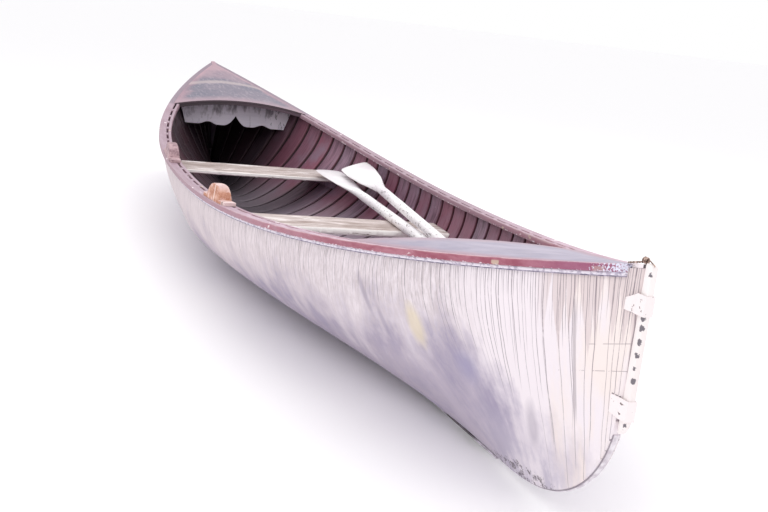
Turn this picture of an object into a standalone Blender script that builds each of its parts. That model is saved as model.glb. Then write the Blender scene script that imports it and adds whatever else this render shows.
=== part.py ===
"""Guideboat: a double-ended wood-and-canvas rowing boat standing ashore, with two oars lying in it.

Metres. +X points to the bow, +Y to port, +Z up. The origin is on the floor under the middle of the boat.
Every long piece is lofted on the same stations, so that neighbours lie face to face with a thin gap.
"""
import math

import bmesh
import bpy
import numpy as np
from mathutils import Matrix, Vector

GAP = 0.0003                 # between pieces that touch
FACET_GAP = 0.0009           # where a flat face lies against the facets of a loft
BOW, STERN = 1, -1
PORT, STARBOARD = 1, -1

# Lines of the hull
LENGTH = 4.88
BEAM = 1.11                  # outside the outwales
DEPTH_MIDDLE = 0.380         # floor to the top of the rails
DEPTH_ENDS = 0.660
PLAN_FULLNESS = 2.35         # how long the rails stay wide
PLAN_POINT = 0.944           # how finely they come to the ends
SHEER_RISE = 2.1             # how late the rails rise
FOREFOOT_LENGTH = 0.507      # the round of each end, along the keel
FOREFOOT_HEIGHT = 0.400      # and up to where the stem goes straight
FOREFOOT_ROUND = 2.45        # 2 is an ellipse, more is fuller
ROCKER = 0.020               # rise of the keel at the forefoots
ROCKER_FLAT = 0.35           # the boat stands on the straight middle of its keel
ROCKER_END = 1.900
BILGE_MIDDLE = 2.50          # roundness of the section amidships: 1 is a straight V, 2 an ellipse
BILGE_LOSS = 1.63            # how much of it is lost towards the ends
BILGE_FADE = 0.82

# Thickness of the shell, from outside to inside
CANVAS = 0.003
PLANKING = 0.006
RIB = 0.008
STEM_HALF = 0.012            # half breadth of the hull at the stems and along the keel
LINING_FLAT = 0.004          # least half breadth inside the ribs
RIB_PITCH = 0.128
RIB_WIDTH = 0.106
RIB_EDGE = 0.0015            # run of a rib's edge along the boat

# Rails
OUTWALE_WIDTH = 0.016
OUTWALE_HEIGHT = 0.026
RAIL_LIP = 0.008             # thickness of the lip that covers the edge of the shell
RAIL_END = 2.377             # where the rails stop short of the stems
SPACER = 0.008               # the open slot between ribs and inwale
SPACER_LENGTH = 0.038
INWALE_WIDTH = 0.013
INWALE_HEIGHT = 0.020

# Decks
DECK_EDGE = 1.540            # distance of the inboard edge from the middle
DECK_THICKNESS = 0.008
DECK_CROWN = {BOW: 0.040, STERN: 0.018}
DECK_BEAM_LENGTH = 0.030     # fore and aft
DECK_BEAM_DEPTH = 0.014       # under the deck, following its crown

# Keel, stems and their metal bands
KEEL_DEPTH = 0.007
KEEL_HALF_MIDDLE = 0.032
KEEL_HALF_END = 0.013
BAND_HALF = 0.008
BAND_THICKNESS = 0.004
POST_THICKNESS = 0.0247
POST_HALF = 0.008
POST_BOTTOM = 0.295
STEM_SIDED = 0.045
STRAP_THICKNESS = 0.002      # of the straps round the stern post

GIRTH_POINTS = 11            # from rail to keel on one side
MIDDLE_BAYS = 22
FOREFOOT_STEPS = 8
LINING_STEP = 4              # the planking stops at this step of the forefoot


def material(name, colour, roughness, metallic=0.0):
    made = bpy.data.materials.new(name)
    made.use_nodes = True
    shader = made.node_tree.nodes["Principled BSDF"]
    shader.inputs["Base Color"].default_value = (*colour, 1.0)
    shader.inputs["Roughness"].default_value = roughness
    shader.inputs["Metallic"].default_value = metallic
    return made


# Stations: close together in the forefoots, even between them

def post_aft():
    """Distance of the post's after face from the middle, inside the straps."""
    return LENGTH / 2 - STRAP_THICKNESS - GAP


def end_of_hull(end):
    """The stem face: aft it leaves room for the stern post, forward for the metal band."""
    if end == BOW:
        return LENGTH / 2 - GAP - BAND_THICKNESS
    return post_aft() - POST_THICKNESS - GAP


def forefoot_station(end, step):
    angle = math.radians(90.0 * step / FOREFOOT_STEPS)
    return end * (end_of_hull(end) - FOREFOOT_LENGTH * (1.0 - math.sin(angle)))


def hull_stations():
    places = {end * place for end in (BOW, STERN) for place in (RAIL_END, DECK_EDGE)}
    for end in (BOW, STERN):
        places.update(forefoot_station(end, step) for step in range(FOREFOOT_STEPS + 1))
    aft, forward = forefoot_station(STERN, 0), forefoot_station(BOW, 0)
    places.update(aft + (forward - aft) * bay / MIDDLE_BAYS for bay in range(1, MIDDLE_BAYS))
    kept = []
    for x in sorted(places):
        near_deck = min(abs(abs(x) - DECK_EDGE), abs(abs(x) - RAIL_END))
        if near_deck == 0.0 or near_deck > 0.02:
            kept.append(x)
    return kept


def true_half_beam(x):
    fraction = min(abs(x) / (LENGTH / 2), 1.0)
    return BEAM / 2 * (1.0 - fraction ** PLAN_FULLNESS) ** PLAN_POINT


def true_sheer(x):
    fraction = min(abs(x) / (LENGTH / 2), 1.0)
    return DEPTH_MIDDLE + (DEPTH_ENDS - DEPTH_MIDDLE) * fraction ** SHEER_RISE


def true_rocker(x):
    """Height of the underside of the keel, which rises towards both ends."""
    share = (abs(x) - ROCKER_FLAT) / (ROCKER_END - ROCKER_FLAT)
    return ROCKER * min(max(share, 0.0), 1.0) ** 1.6


def true_bottom(x):
    from_end = end_of_hull(BOW if x > 0 else STERN) - abs(x)
    reach = min(max((FOREFOOT_LENGTH - from_end) / FOREFOOT_LENGTH, 0.0), 1.0)
    rise = 1.0 - (1.0 - reach ** FOREFOOT_ROUND) ** (1.0 / FOREFOOT_ROUND)
    low = KEEL_DEPTH + true_rocker(x)
    return low + (FOREFOOT_HEIGHT - low) * rise


STATIONS = hull_stations()
HALF_BEAMS = [true_half_beam(x) for x in STATIONS]
SHEERS = [true_sheer(x) for x in STATIONS]
BOTTOMS = [true_bottom(x) for x in STATIONS]
CANVAS_HALVES = [max(half - OUTWALE_WIDTH - GAP, STEM_HALF) for half in HALF_BEAMS]


def half_beam(x):
    """Half breadth outside the rails, straight between stations."""
    return float(np.interp(x, STATIONS, HALF_BEAMS))


def sheer(x):
    """Top of the rails, straight between stations."""
    return float(np.interp(x, STATIONS, SHEERS))


def bottom(x):
    return float(np.interp(x, STATIONS, BOTTOMS))


def stations_between(first, last):
    return [first] + [x for x in STATIONS if first < x < last] + [last]


# Sections

def roundness(x):
    fraction = min(abs(x) / (LENGTH / 2), 1.0)
    return max(1.0, BILGE_MIDDLE - BILGE_LOSS * fraction ** BILGE_FADE)


def canvas_half(x):
    return float(np.interp(x, STATIONS, CANVAS_HALVES))


def layer_size(x, inset):
    """Half breadth, flat at the keel, top and bottom of the layer `inset` inside the canvas."""
    beam = canvas_half(x)
    top = sheer(x) - RAIL_LIP - GAP
    flat = max(STEM_HALF - inset, LINING_FLAT)
    low = bottom(x) + inset
    if flat + inset > STEM_HALF and beam > STEM_HALF:
        power = roundness(x)
        across = min((flat + inset - STEM_HALF) / (beam - STEM_HALF), 1.0)
        reach = (1.0 - across ** power) ** (1.0 / power)
        low = max(low, top - (top - bottom(x)) * reach)
    return beam - inset, flat, top, low


def girth_angles(x):
    """Angles that space the points of a section evenly round its girth."""
    beam, flat, top, low = layer_size(x, 0.0)
    power = 2.0 / roundness(x)
    fine = np.linspace(0.0, math.pi / 2, 91)
    across = (beam - flat) * np.cos(fine).clip(0.0) ** power
    down = (top - low) * np.sin(fine) ** power
    run = np.concatenate([[0.0], np.cumsum(np.hypot(np.diff(across), np.diff(down)))])
    return np.interp(np.linspace(0.0, run[-1], GIRTH_POINTS), run, fine)


def half_section(x, inset):
    """(half breadth, height) from the rail down to the keel."""
    beam, flat, top, low = layer_size(x, inset)
    power = 2.0 / roundness(x)
    points = []
    for angle in girth_angles(x):
        across = max(math.cos(angle), 0.0) ** power
        down = math.sin(angle) ** power
        points.append((flat + (beam - flat) * across, top - (top - low) * down))
    return points


def section(x, inset):
    port = half_section(x, inset)
    return [Vector((x, y, z)) for y, z in port] + [Vector((x, -y, z)) for y, z in reversed(port)]


def inside_half(x, z):
    """Half breadth inside the ribs at a height."""
    points = half_section(x, CANVAS + PLANKING + RIB + GAP)
    heights = [point[1] for point in reversed(points)]
    breadths = [point[0] for point in reversed(points)]
    return float(np.interp(z, heights, breadths))


# Mesh building

def add_object(name, mesh_builder, look, collection, smooth=30.0):
    mesh = bpy.data.meshes.new(name)
    bmesh.ops.recalc_face_normals(mesh_builder, faces=mesh_builder.faces)
    mesh_builder.to_mesh(mesh)
    mesh_builder.free()
    mesh.materials.append(look)
    mesh.shade_smooth()
    mesh.set_sharp_from_angle(angle=math.radians(smooth))
    made = bpy.data.objects.new(name, mesh)
    collection.objects.link(made)
    return made


def skin_between(builder, first, second):
    """Two triangles for each pair of points in two rows of equal length."""
    for left in range(len(first) - 1):
        builder.faces.new((first[left], first[left + 1], second[left + 1]))
        builder.faces.new((first[left], second[left + 1], second[left]))


def zip_rows(builder, first, second):
    """Triangles between two rows of unequal length that run the same way along X."""
    i = j = 0
    while i < len(first) - 1 or j < len(second) - 1:
        step_first = j == len(second) - 1
        if not step_first and i < len(first) - 1:
            step_first = first[i + 1].co.x <= second[j + 1].co.x
        if step_first:
            builder.faces.new((first[i], first[i + 1], second[j]))
            i += 1
        else:
            builder.faces.new((second[j], first[i], second[j + 1]))
            j += 1


def shell(name, outer, inner, look, collection):
    """A shell between two lofts whose rows run from rail to rail."""
    builder = bmesh.new()
    outside = [[builder.verts.new(point) for point in row] for row in outer]
    inside = [[builder.verts.new(point) for point in row] for row in inner]
    for grid in (outside, inside):
        for row, following in zip(grid, grid[1:]):
            skin_between(builder, row, following)
    for edge in (0, -1):
        zip_rows(builder, [row[edge] for row in outside], [row[edge] for row in inside])
    for end in (0, -1):
        skin_between(builder, outside[end], inside[end])
    return add_object(name, builder, look, collection)


def loft(name, rows, look, collection, smooth=30.0):
    """A solid through closed rows of equal length, capped at both ends."""
    builder = bmesh.new()
    made = [[builder.verts.new(point) for point in row] for row in rows]
    for row, following in zip(made, made[1:]):
        skin_between(builder, row + row[:1], following + following[:1])
    builder.faces.new(made[0])
    builder.faces.new(made[-1])
    return add_object(name, builder, look, collection, smooth)


def plate(name, outline, x_low, x_high, look, collection):
    """An outline in (y, z) cut from a board that lies athwart."""
    rows = [[Vector((x, y, z)) for y, z in outline] for x in (x_low, x_high)]
    return loft(name, rows, look, collection)


# Pieces

def canvas_skin(look, collection):
    outer = [section(x, 0.0) for x in STATIONS]
    inner = [section(x, CANVAS) for x in STATIONS[1:-1]]
    first, last = STATIONS[0] + CANVAS, STATIONS[-1] - CANVAS
    inner = [section_at_stem(STATIONS[0], first)] + inner + [section_at_stem(STATIONS[-1], last)]
    return shell("canvas_skin", outer, inner, look, collection)


def section_at_stem(station, x):
    """The inner face of the canvas across a stem: the end station moved inboard."""
    top = sheer(x) - RAIL_LIP - GAP
    return [Vector((x, point.y, min(point.z, top))) for point in section(station, CANVAS)]


def ribs_and_planking(look, collection):
    """Planking with a wide flat rib on it at each pitch."""
    first, last = forefoot_station(STERN, LINING_STEP), forefoot_station(BOW, LINING_STEP)
    places = stations_between(first, last)
    outer = [section(x, CANVAS + GAP) for x in places]
    between, on_rib = CANVAS + PLANKING, CANVAS + PLANKING + RIB
    count = int((min(last, -first) - RIB_WIDTH / 2) / RIB_PITCH)
    steps = []
    for x in places:
        nearest = RIB_PITCH * min(max(round(x / RIB_PITCH), -count), count)
        from_edge = abs(x - nearest) - RIB_WIDTH / 2
        if abs(from_edge) > 2 * RIB_EDGE:
            steps.append((x, on_rib if from_edge < 0.0 else between))
    for number in range(-count, count + 1):
        aft, forward = RIB_PITCH * number - RIB_WIDTH / 2, RIB_PITCH * number + RIB_WIDTH / 2
        steps += [(aft - RIB_EDGE, between), (aft, on_rib), (forward, on_rib), (forward + RIB_EDGE, between)]
    inner = [section(x, inset) for x, inset in sorted(steps)]
    return shell("ribs_and_planking", outer, inner, look, collection)


def keel_shoe(look, collection):
    first, last = forefoot_station(STERN, 0), forefoot_station(BOW, 0)
    rows = []
    for x in stations_between(first, last):
        fraction = abs(x) / max(last, -first)
        half = KEEL_HALF_MIDDLE + (KEEL_HALF_END - KEEL_HALF_MIDDLE) * fraction ** 3
        low, high = bottom(x) - KEEL_DEPTH, bottom(x) - GAP
        outline = ((-half, low), (half, low), (half, high), (-half, high))
        rows.append([Vector((x, y, z)) for y, z in outline])
    return loft("keel_shoe", rows, look, collection)


def stem_profile(end, first, top):
    """Points (x, z) under the keel line from a station round the forefoot and up the stem."""
    hull_end = end * end_of_hull(end)
    places = [x for x in STATIONS if end * x >= abs(first) - GAP]
    points = [(x, bottom(x)) for x in sorted(places, key=abs)]
    return points + [(hull_end, top)]


def moved_inwards(end, points, inset):
    """A profile moved square to its own line; its ends stay at their own place along the line."""
    moved = []
    for here, point in enumerate(points):
        corner = Vector(point)
        before = (corner - Vector(points[here - 1])).normalized() if here > 0 else None
        after = (Vector(points[here + 1]) - corner).normalized() if here + 1 < len(points) else None
        before, after = before or after, after or before
        along = (before + after).normalized()
        inward = Vector((-end * abs(along.y), abs(along.x)))
        stretch = inset / max(along.dot(before), 0.5)
        moved.append((corner.x + inward.x * stretch, corner.y + inward.y * stretch))
    return moved


def cut_at(points, x):
    """The point at x on the first stretch of a profile."""
    (x_first, z_first), (x_next, z_next) = points[:2]
    return x, z_first + (z_next - z_first) * (x - x_first) / (x_next - x_first)


def strip_on_profile(name, outer, inner, half, look, collection):
    """A strip of constant breadth between two profiles of equal length."""
    rows = []
    for (x_out, z_out), (x_in, z_in) in zip(outer, inner):
        rows.append([Vector((x_out, -half, z_out)), Vector((x_out, half, z_out)),
                     Vector((x_in, half, z_in)), Vector((x_in, -half, z_in))])
    return loft(name, rows, look, collection)


def stem_bands(look, collection):
    """Metal strips outside the canvas: up to the deck forward, up to the foot of the post aft."""
    bow = stem_profile(BOW, forefoot_station(BOW, 0), sheer(STATIONS[-1]) - 0.002)
    strip_on_profile("stem_band_bow", moved_inwards(BOW, bow, -GAP - BAND_THICKNESS),
                     moved_inwards(BOW, bow, -GAP), BAND_HALF, look, collection)
    stern = stem_profile(STERN, forefoot_station(STERN, 0), POST_BOTTOM)
    stern = [point for point in stern[:-1] if point[1] < POST_BOTTOM - 0.03]
    strip_on_profile("stem_band_stern", moved_inwards(STERN, stern, -GAP - BAND_THICKNESS),
                     moved_inwards(STERN, stern, -GAP), BAND_HALF, look, collection)


def inner_stems(look, collection):
    """Wooden stems inside the canvas, forward and aft of the planking."""
    for end, name in ((BOW, "stem_bow"), (STERN, "stem_stern")):
        top = sheer(end * end_of_hull(end)) - 0.02
        profile = stem_profile(end, forefoot_station(end, LINING_STEP), top)
        outer = moved_inwards(end, profile, CANVAS + 0.001)
        inner = moved_inwards(end, profile, CANVAS + STEM_SIDED)
        clear = forefoot_station(end, LINING_STEP) + end * 0.002
        outer[0] = cut_at(outer, clear)
        inner[0] = cut_at(inner, clear)
        strip_on_profile(name, outer, inner, STEM_HALF - CANVAS - GAP, look, collection)


def stern_post(look, collection):
    aft = -post_aft()
    front = aft + POST_THICKNESS
    outline = [(-POST_HALF, POST_BOTTOM), (POST_HALF, POST_BOTTOM), (POST_HALF, DEPTH_ENDS - 0.004),
               (-POST_HALF, DEPTH_ENDS - 0.004)]
    return plate("stern_post", outline, aft, front, look, collection)


def lip_edge(x):
    """How far inboard the rail reaches: over the whole shell, or beside a deck just over the canvas."""
    if abs(x) < DECK_EDGE:
        return OUTWALE_WIDTH + GAP + CANVAS + PLANKING + RIB
    return half_beam(RAIL_END) - STEM_HALF - GAP


def outwales(look, collection):
    for side, name in ((PORT, "outwale_port"), (STARBOARD, "outwale_starboard")):
        rows = []
        step = 0.0005
        places = stations_between(-RAIL_END, RAIL_END)
        places = sorted(places + [-DECK_EDGE + step, DECK_EDGE - step])
        for x in places:
            lip = lip_edge(x)
            outline = ((0.0, -0.004), (0.004, 0.0), (lip, 0.0), (lip, -RAIL_LIP),
                       (OUTWALE_WIDTH, -RAIL_LIP), (OUTWALE_WIDTH, -OUTWALE_HEIGHT),
                       (0.006, -OUTWALE_HEIGHT), (0.0, -OUTWALE_HEIGHT + 0.007))
            rows.append([Vector((x, side * (half_beam(x) - inboard), sheer(x) + up))
                         for inboard, up in outline])
        loft(name, rows, look, collection)


def inwales(look, collection):
    """Inner rails, leaning with the ribs, each with the spacer blocks that hold it off the rib heads."""
    end = DECK_EDGE - 0.003
    count = int((end - SPACER_LENGTH / 2) / RIB_PITCH)
    centres = [RIB_PITCH * number for number in range(-count, count + 1)]
    for side, name in ((PORT, "inwale_port"), (STARBOARD, "inwale_starboard")):
        places = [(x, SPACER) for x in stations_between(-end, end)
                  if all(abs(x - centre) > SPACER_LENGTH / 2 + 0.001 for centre in centres)]
        for centre in centres:
            aft, forward = centre - SPACER_LENGTH / 2, centre + SPACER_LENGTH / 2
            places += [(aft - 0.0002, SPACER), (aft, 0.0), (forward, 0.0), (forward + 0.0002, SPACER)]
        rows = []
        for x, slot in sorted(places):
            top, low = sheer(x), sheer(x) - INWALE_HEIGHT
            head = half_beam(x) - lip_edge(0.0) - FACET_GAP
            foot = inside_half(x, low) - FACET_GAP
            bar_head, bar_foot = head - SPACER - INWALE_WIDTH, foot - SPACER - INWALE_WIDTH
            outline = ((head - slot, top), (bar_head + 0.003, top), (bar_head, top - 0.003),
                       (bar_foot, low), (foot - slot, low), (head - slot, top - RAIL_LIP))
            rows.append([Vector((x, side * y, z)) for y, z in outline])
        loft(name, rows, look, collection)


# Decks

DECK_SHARES = [share / 5.0 for share in range(-5, 6)]


def deck_half(x):
    if abs(x) >= RAIL_END:
        return STEM_HALF
    return half_beam(x) - lip_edge(max(abs(x), DECK_EDGE)) - GAP


def deck_height(end, x, y):
    """Top of a deck at a point, straight between the lines it is lofted on."""
    crown = DECK_CROWN[end] * deck_half(x) / deck_half(DECK_EDGE)
    shares = [abs(share) for share in DECK_SHARES if share >= 0.0]
    rise = [1.0 - share * share for share in shares]
    return sheer(x) + crown * float(np.interp(abs(y) / deck_half(x), shares, rise))


def decks(look, beam_look, collection):
    for end, name in ((BOW, "bow"), (STERN, "stern")):
        hull_end = end * end_of_hull(end)
        if end == BOW:
            places = stations_between(DECK_EDGE, hull_end)
        else:
            places = stations_between(hull_end, -DECK_EDGE)
        rows = []
        for x in places:
            top = [Vector((x, share * deck_half(x), deck_height(end, x, share * deck_half(x))))
                   for share in DECK_SHARES]
            under = [point - Vector((0.0, 0.0, DECK_THICKNESS)) for point in reversed(top)]
            rows.append(top + under)
        loft("deck_" + name, rows, look, collection)

        near, far = end * (DECK_EDGE + 0.002), end * (DECK_EDGE + 0.002 + DECK_BEAM_LENGTH)
        rows = []
        for x in sorted((near, far)):
            half = inside_half(x, sheer(x) - DECK_THICKNESS - FACET_GAP - DECK_BEAM_DEPTH) - 0.001
            top = [Vector((x, share * half, deck_height(end, x, share * half) - DECK_THICKNESS - FACET_GAP))
                   for share in DECK_SHARES]
            under = [point - Vector((0.0, 0.0, DECK_BEAM_DEPTH)) for point in reversed(top)]
            rows.append(top + under)
        loft("deck_beam_" + name, rows, beam_look, collection)


# Scalloped board under the bow deck
BOARD_PLACE = 1.650
BOARD_THICKNESS = 0.012
BOARD_LOW = 0.381
NOTCH_HEIGHT = 0.055
LOBE_PLACE = 0.064
WAVE_HEIGHT = 0.015
WAVE_PLACE = 0.145
WAVE_HALF = 0.055


def scallop(y):
    """Lower edge: a pointed notch in the middle, then a lobe, a wave and a flat."""
    away = abs(y)
    if away < LOBE_PLACE:
        return BOARD_LOW + NOTCH_HEIGHT * (1.0 - away / LOBE_PLACE) ** 2
    if abs(away - WAVE_PLACE) < WAVE_HALF:
        return BOARD_LOW + WAVE_HEIGHT * 0.5 * (1.0 + math.cos(math.pi * (away - WAVE_PLACE) / WAVE_HALF))
    return BOARD_LOW


def scalloped_board(look, collection):
    half_low = inside_half(BOARD_PLACE + BOARD_THICKNESS, BOARD_LOW) - 0.003
    half_top = inside_half(BOARD_PLACE + BOARD_THICKNESS, sheer(BOARD_PLACE) - 0.012) - 0.003
    places = [half_low * share / 20.0 for share in range(-20, 21)]
    rows = []
    for x in (BOARD_PLACE, BOARD_PLACE + BOARD_THICKNESS):
        low = [Vector((x, y, scallop(y))) for y in places]
        top = [Vector((x, y / half_low * half_top,
                       deck_height(BOW, x, y / half_low * half_top) - DECK_THICKNESS - FACET_GAP))
               for y in reversed(places)]
        rows.append(low + top)
    return loft("scalloped_board", rows, look, collection)


# Thwarts: place of the after edge, place of the forward edge, thickness
THWARTS = {"thwart_forward": (0.940, 1.200, 0.020), "thwart_aft": (-0.250, -0.030, 0.026)}
THWART_TOP = 0.250
THWART_CLEAR = 0.0025
CLEAT_HEIGHT = 0.030
CLEAT_WIDTH = 0.034


def thwarts(look, cleat_look, collection):
    for name, (aft, forward, thickness) in THWARTS.items():
        low = THWART_TOP - thickness
        plank = []
        for x in stations_between(aft, forward):
            under = inside_half(x, low) - THWART_CLEAR
            over = inside_half(x, THWART_TOP) - THWART_CLEAR
            plank.append([Vector((x, -under, low)), Vector((x, under, low)),
                          Vector((x, over, THWART_TOP)), Vector((x, -over, THWART_TOP))])
        loft(name, plank, look, collection)
        for side, side_name in ((PORT, "port"), (STARBOARD, "starboard")):
            rows = []
            for x in stations_between(aft, forward):
                high, foot = low - GAP, low - CLEAT_HEIGHT
                clear = 0.0005 if x in STATIONS else 0.0025
                wall_high = inside_half(x, high) - clear
                wall_foot = inside_half(x, foot) - clear
                outline = ((wall_foot, foot), (wall_high, high), (wall_high - CLEAT_WIDTH, high),
                           (wall_high - CLEAT_WIDTH, foot + 0.002))
                rows.append([Vector((x, side * y, z)) for y, z in outline])
            loft("cleat_" + name.split("_")[1] + "_" + side_name, rows, cleat_look, collection)


# Oar blocks on the port rail: place along the boat
BLOCKS = {"oar_block_forward": 0.370, "oar_block_aft": -0.603}
BLOCK_HALF = 0.135
BLOCK_WIDTH = 0.046
BLOCK_BASE = 0.012
HUMP_HALF = 0.072
HUMP_HEIGHT = 0.058


def hump(along):
    """Height of a block above the rail at a distance from its middle."""
    share = min(abs(along) / HUMP_HALF, 1.0)
    return BLOCK_BASE + (HUMP_HEIGHT - BLOCK_BASE) * (1.0 - share ** 3.4) ** 0.6


def oar_blocks(look, collection):
    middle = (OUTWALE_WIDTH + CANVAS + PLANKING + RIB + SPACER + INWALE_WIDTH) / 2
    edge = HUMP_HALF / BLOCK_HALF
    steps = [-1.0] + [edge * part / 7.0 for part in range(-7, 8)] + [1.0]
    for name, place in BLOCKS.items():
        rows = []
        for step in steps:
            along = step * BLOCK_HALF
            x = place + along
            height = hump(along)
            half = BLOCK_WIDTH / 2 * (1.0 if abs(step) < 1.0 else 0.8)
            lean = 0.10 * (height - BLOCK_BASE)
            y = half_beam(x) - middle
            foot = sheer(x) + GAP
            rows.append([Vector((x, y - half, foot)), Vector((x, y + half, foot)),
                         Vector((x, y + half - lean, foot + height)),
                         Vector((x, y - half + lean, foot + height))])
        loft(name, rows, look, collection)


# Oars: distance from the grip's end, half breadth, half thickness
OAR_LENGTH = 1.98
OAR_SHAPE = ((0.000, 0.010, 0.010), (0.010, 0.016, 0.016), (0.110, 0.017, 0.017), (0.130, 0.020, 0.020),
             (1.300, 0.020, 0.020), (1.400, 0.020, 0.017), (1.500, 0.034, 0.013), (1.620, 0.052, 0.010),
             (1.800, 0.066, 0.008), (1.900, 0.067, 0.006), (1.962, 0.065, 0.005), (1.980, 0.057, 0.004))
OAR_SIDES = 12
SHAFT_RADIUS = 0.020
OAR_TIP_INBOARD = 0.983
OAR_TIP_OUTBOARD = 0.8348
OUTBOARD_ROLL = math.radians(21.0)


def oar(name, aft_point, forward_point, tip_x, roll, look, collection):
    """An oar whose axis passes through two points, its blade towards the bow."""
    axis = (forward_point - aft_point).normalized()
    tip = aft_point + axis * ((tip_x - aft_point.x) / axis.x)
    rows = []
    for place, breadth, thickness in OAR_SHAPE:
        rows.append([Vector((place, breadth * math.cos(2 * math.pi * side / OAR_SIDES),
                             thickness * math.sin(2 * math.pi * side / OAR_SIDES)))
                     for side in range(OAR_SIDES)])
    made = loft(name, rows, look, collection)
    across = Vector((0.0, 0.0, 1.0)).cross(axis).normalized()
    up = axis.cross(across)
    turn = Matrix((axis, across, up)).transposed() @ Matrix.Rotation(roll, 3, "X")
    made.matrix_world = Matrix.Translation(tip - axis * OAR_LENGTH) @ turn.to_4x4()
    return made


def oars(look, collection):
    """One oar lies on the after thwart, the other crosses it near the handles, its blade against the ribs."""
    seat_aft = THWARTS["thwart_aft"][0]
    on_seat = Vector((seat_aft, -0.2987, THWART_TOP + SHAFT_RADIUS + GAP))
    blade = Vector((1.000, -0.3378, 0.2803))
    oar("oar_inboard", on_seat, blade, OAR_TIP_INBOARD, 0.0, look, collection)
    over_shaft = Vector((-0.4910, -0.3013, 0.3109))
    raised_blade = Vector((0.8581, -0.4177, 0.3364))
    oar("oar_outboard", over_shaft, raised_blade, OAR_TIP_OUTBOARD, -OUTBOARD_ROLL, look, collection)


# Straps that hold the stern post: (height at the post: low, high), (height forward: low, high), length
STRAPS = {"strap_upper": ((0.551, 0.594), (0.552, 0.577), 0.030),
          "strap_lower": ((0.328, 0.372), (0.331, 0.370), 0.030)}


def straps(look, collection):
    """Plates bent round the post and laid along both sides of the hull."""
    post_front = -end_of_hull(STERN)
    for name, (at_post, at_end, length) in STRAPS.items():
        places = reversed(stations_between(post_front, post_front + length))
        route = [(x, (x - post_front) / length) for x in places]
        rows = []
        for side in (PORT, STARBOARD):
            leg = []
            for x, share in route:
                low = at_post[0] + (at_end[0] - at_post[0]) * share
                high = at_post[1] + (at_end[1] - at_post[1]) * share
                leg.append([(x, side, low, high), "hull"])
            leg.append([(-post_aft(), side, at_post[0], at_post[1]), "post"])
            rows += leg if side == PORT else leg[::-1]
        made = []
        for (x, side, low, high), kind in rows:
            points = []
            for z, grow in ((low, 0.0), (high, 0.0), (high, STRAP_THICKNESS), (low, STRAP_THICKNESS)):
                if kind == "hull":
                    half = hull_side(x, z) + FACET_GAP
                    points.append(Vector((x, side * (half + grow), z)))
                else:
                    half = POST_HALF + FACET_GAP
                    points.append(Vector((x - GAP - grow, side * (half + grow), z)))
            made.append(points)
        loft(name, made, look, collection)


def hull_side(x, z):
    """Half breadth outside the canvas at a height."""
    points = half_section(x, 0.0)
    return float(np.interp(z, [point[1] for point in reversed(points)], [point[0] for point in reversed(points)]))


# Eye and lashing at the stern
EYE_PLACE = -2.400
EYE_RADIUS = 0.0060
EYE_WIRE = 0.0024


def tube(name, points, radius, look, collection, cyclic=False):
    """A round bar along a line of points."""
    curve = bpy.data.curves.new(name, "CURVE")
    curve.dimensions = "3D"
    curve.bevel_depth = radius
    curve.bevel_resolution = 1
    curve.use_fill_caps = True
    line = curve.splines.new("POLY")
    line.points.add(len(points) - 1)
    for place, point in zip(line.points, points):
        place.co = (*point, 1.0)
    line.use_cyclic_u = cyclic
    curve.materials.append(look)
    made = bpy.data.objects.new(name, curve)
    collection.objects.link(made)
    return made


def stern_eye(look, collection):
    base = deck_height(STERN, EYE_PLACE, 0.0) + GAP
    centre = Vector((EYE_PLACE, 0.0, base + EYE_RADIUS + EYE_WIRE))
    ring = [centre + EYE_RADIUS * Vector((math.sin(turn), 0.0, math.cos(turn)))
            for turn in (2 * math.pi * part / 14 for part in range(14))]
    tube("stern_eye", ring, EYE_WIRE, look, collection, cyclic=True)


def build():
    for old in list(bpy.data.objects):
        bpy.data.objects.remove(old)
    boat = bpy.data.collections.new("guideboat")
    bpy.context.scene.collection.children.link(boat)

    painted_canvas = material("white_painted_canvas", (0.80, 0.76, 0.76), 0.65)
    ribs = material("varnished_ribs", (0.13, 0.08, 0.09), 0.50)
    rails = material("red_painted_rail", (0.48, 0.20, 0.22), 0.60)
    deck_paint = material("grey_painted_deck", (0.38, 0.34, 0.42), 0.60)
    grey_board = material("weathered_grey_board", (0.45, 0.42, 0.46), 0.80)
    bare_wood = material("bare_weathered_wood", (0.62, 0.55, 0.46), 0.80)
    block_wood = material("bare_orange_wood", (0.66, 0.42, 0.26), 0.75)
    oar_paint = material("white_painted_oar", (0.85, 0.82, 0.82), 0.55)
    iron = material("painted_iron", (0.78, 0.74, 0.74), 0.60)
    brass = material("dull_brass_band", (0.35, 0.32, 0.33), 0.55, 0.6)
    wire = material("rusty_wire", (0.35, 0.26, 0.20), 0.70, 0.5)

    canvas_skin(painted_canvas, boat)
    ribs_and_planking(ribs, boat)
    inner_stems(ribs, boat)
    keel_shoe(painted_canvas, boat)
    stem_bands(brass, boat)
    stern_post(painted_canvas, boat)
    straps(iron, boat)
    outwales(rails, boat)
    inwales(rails, boat)
    decks(deck_paint, ribs, boat)
    scalloped_board(grey_board, boat)
    thwarts(bare_wood, ribs, boat)
    oar_blocks(block_wood, boat)
    oars(oar_paint, boat)
    stern_eye(wire, boat)


build()
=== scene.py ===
"""Guideboat of wood and canvas, 4.88 m long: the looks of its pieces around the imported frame.

Metres, +X to the bow, +Y to port, the floor at z = 0.
"""
import functools
import math

import bmesh
import bpy
import numpy as np
from mathutils import Matrix, Vector
from mathutils.bvhtree import BVHTree


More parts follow.
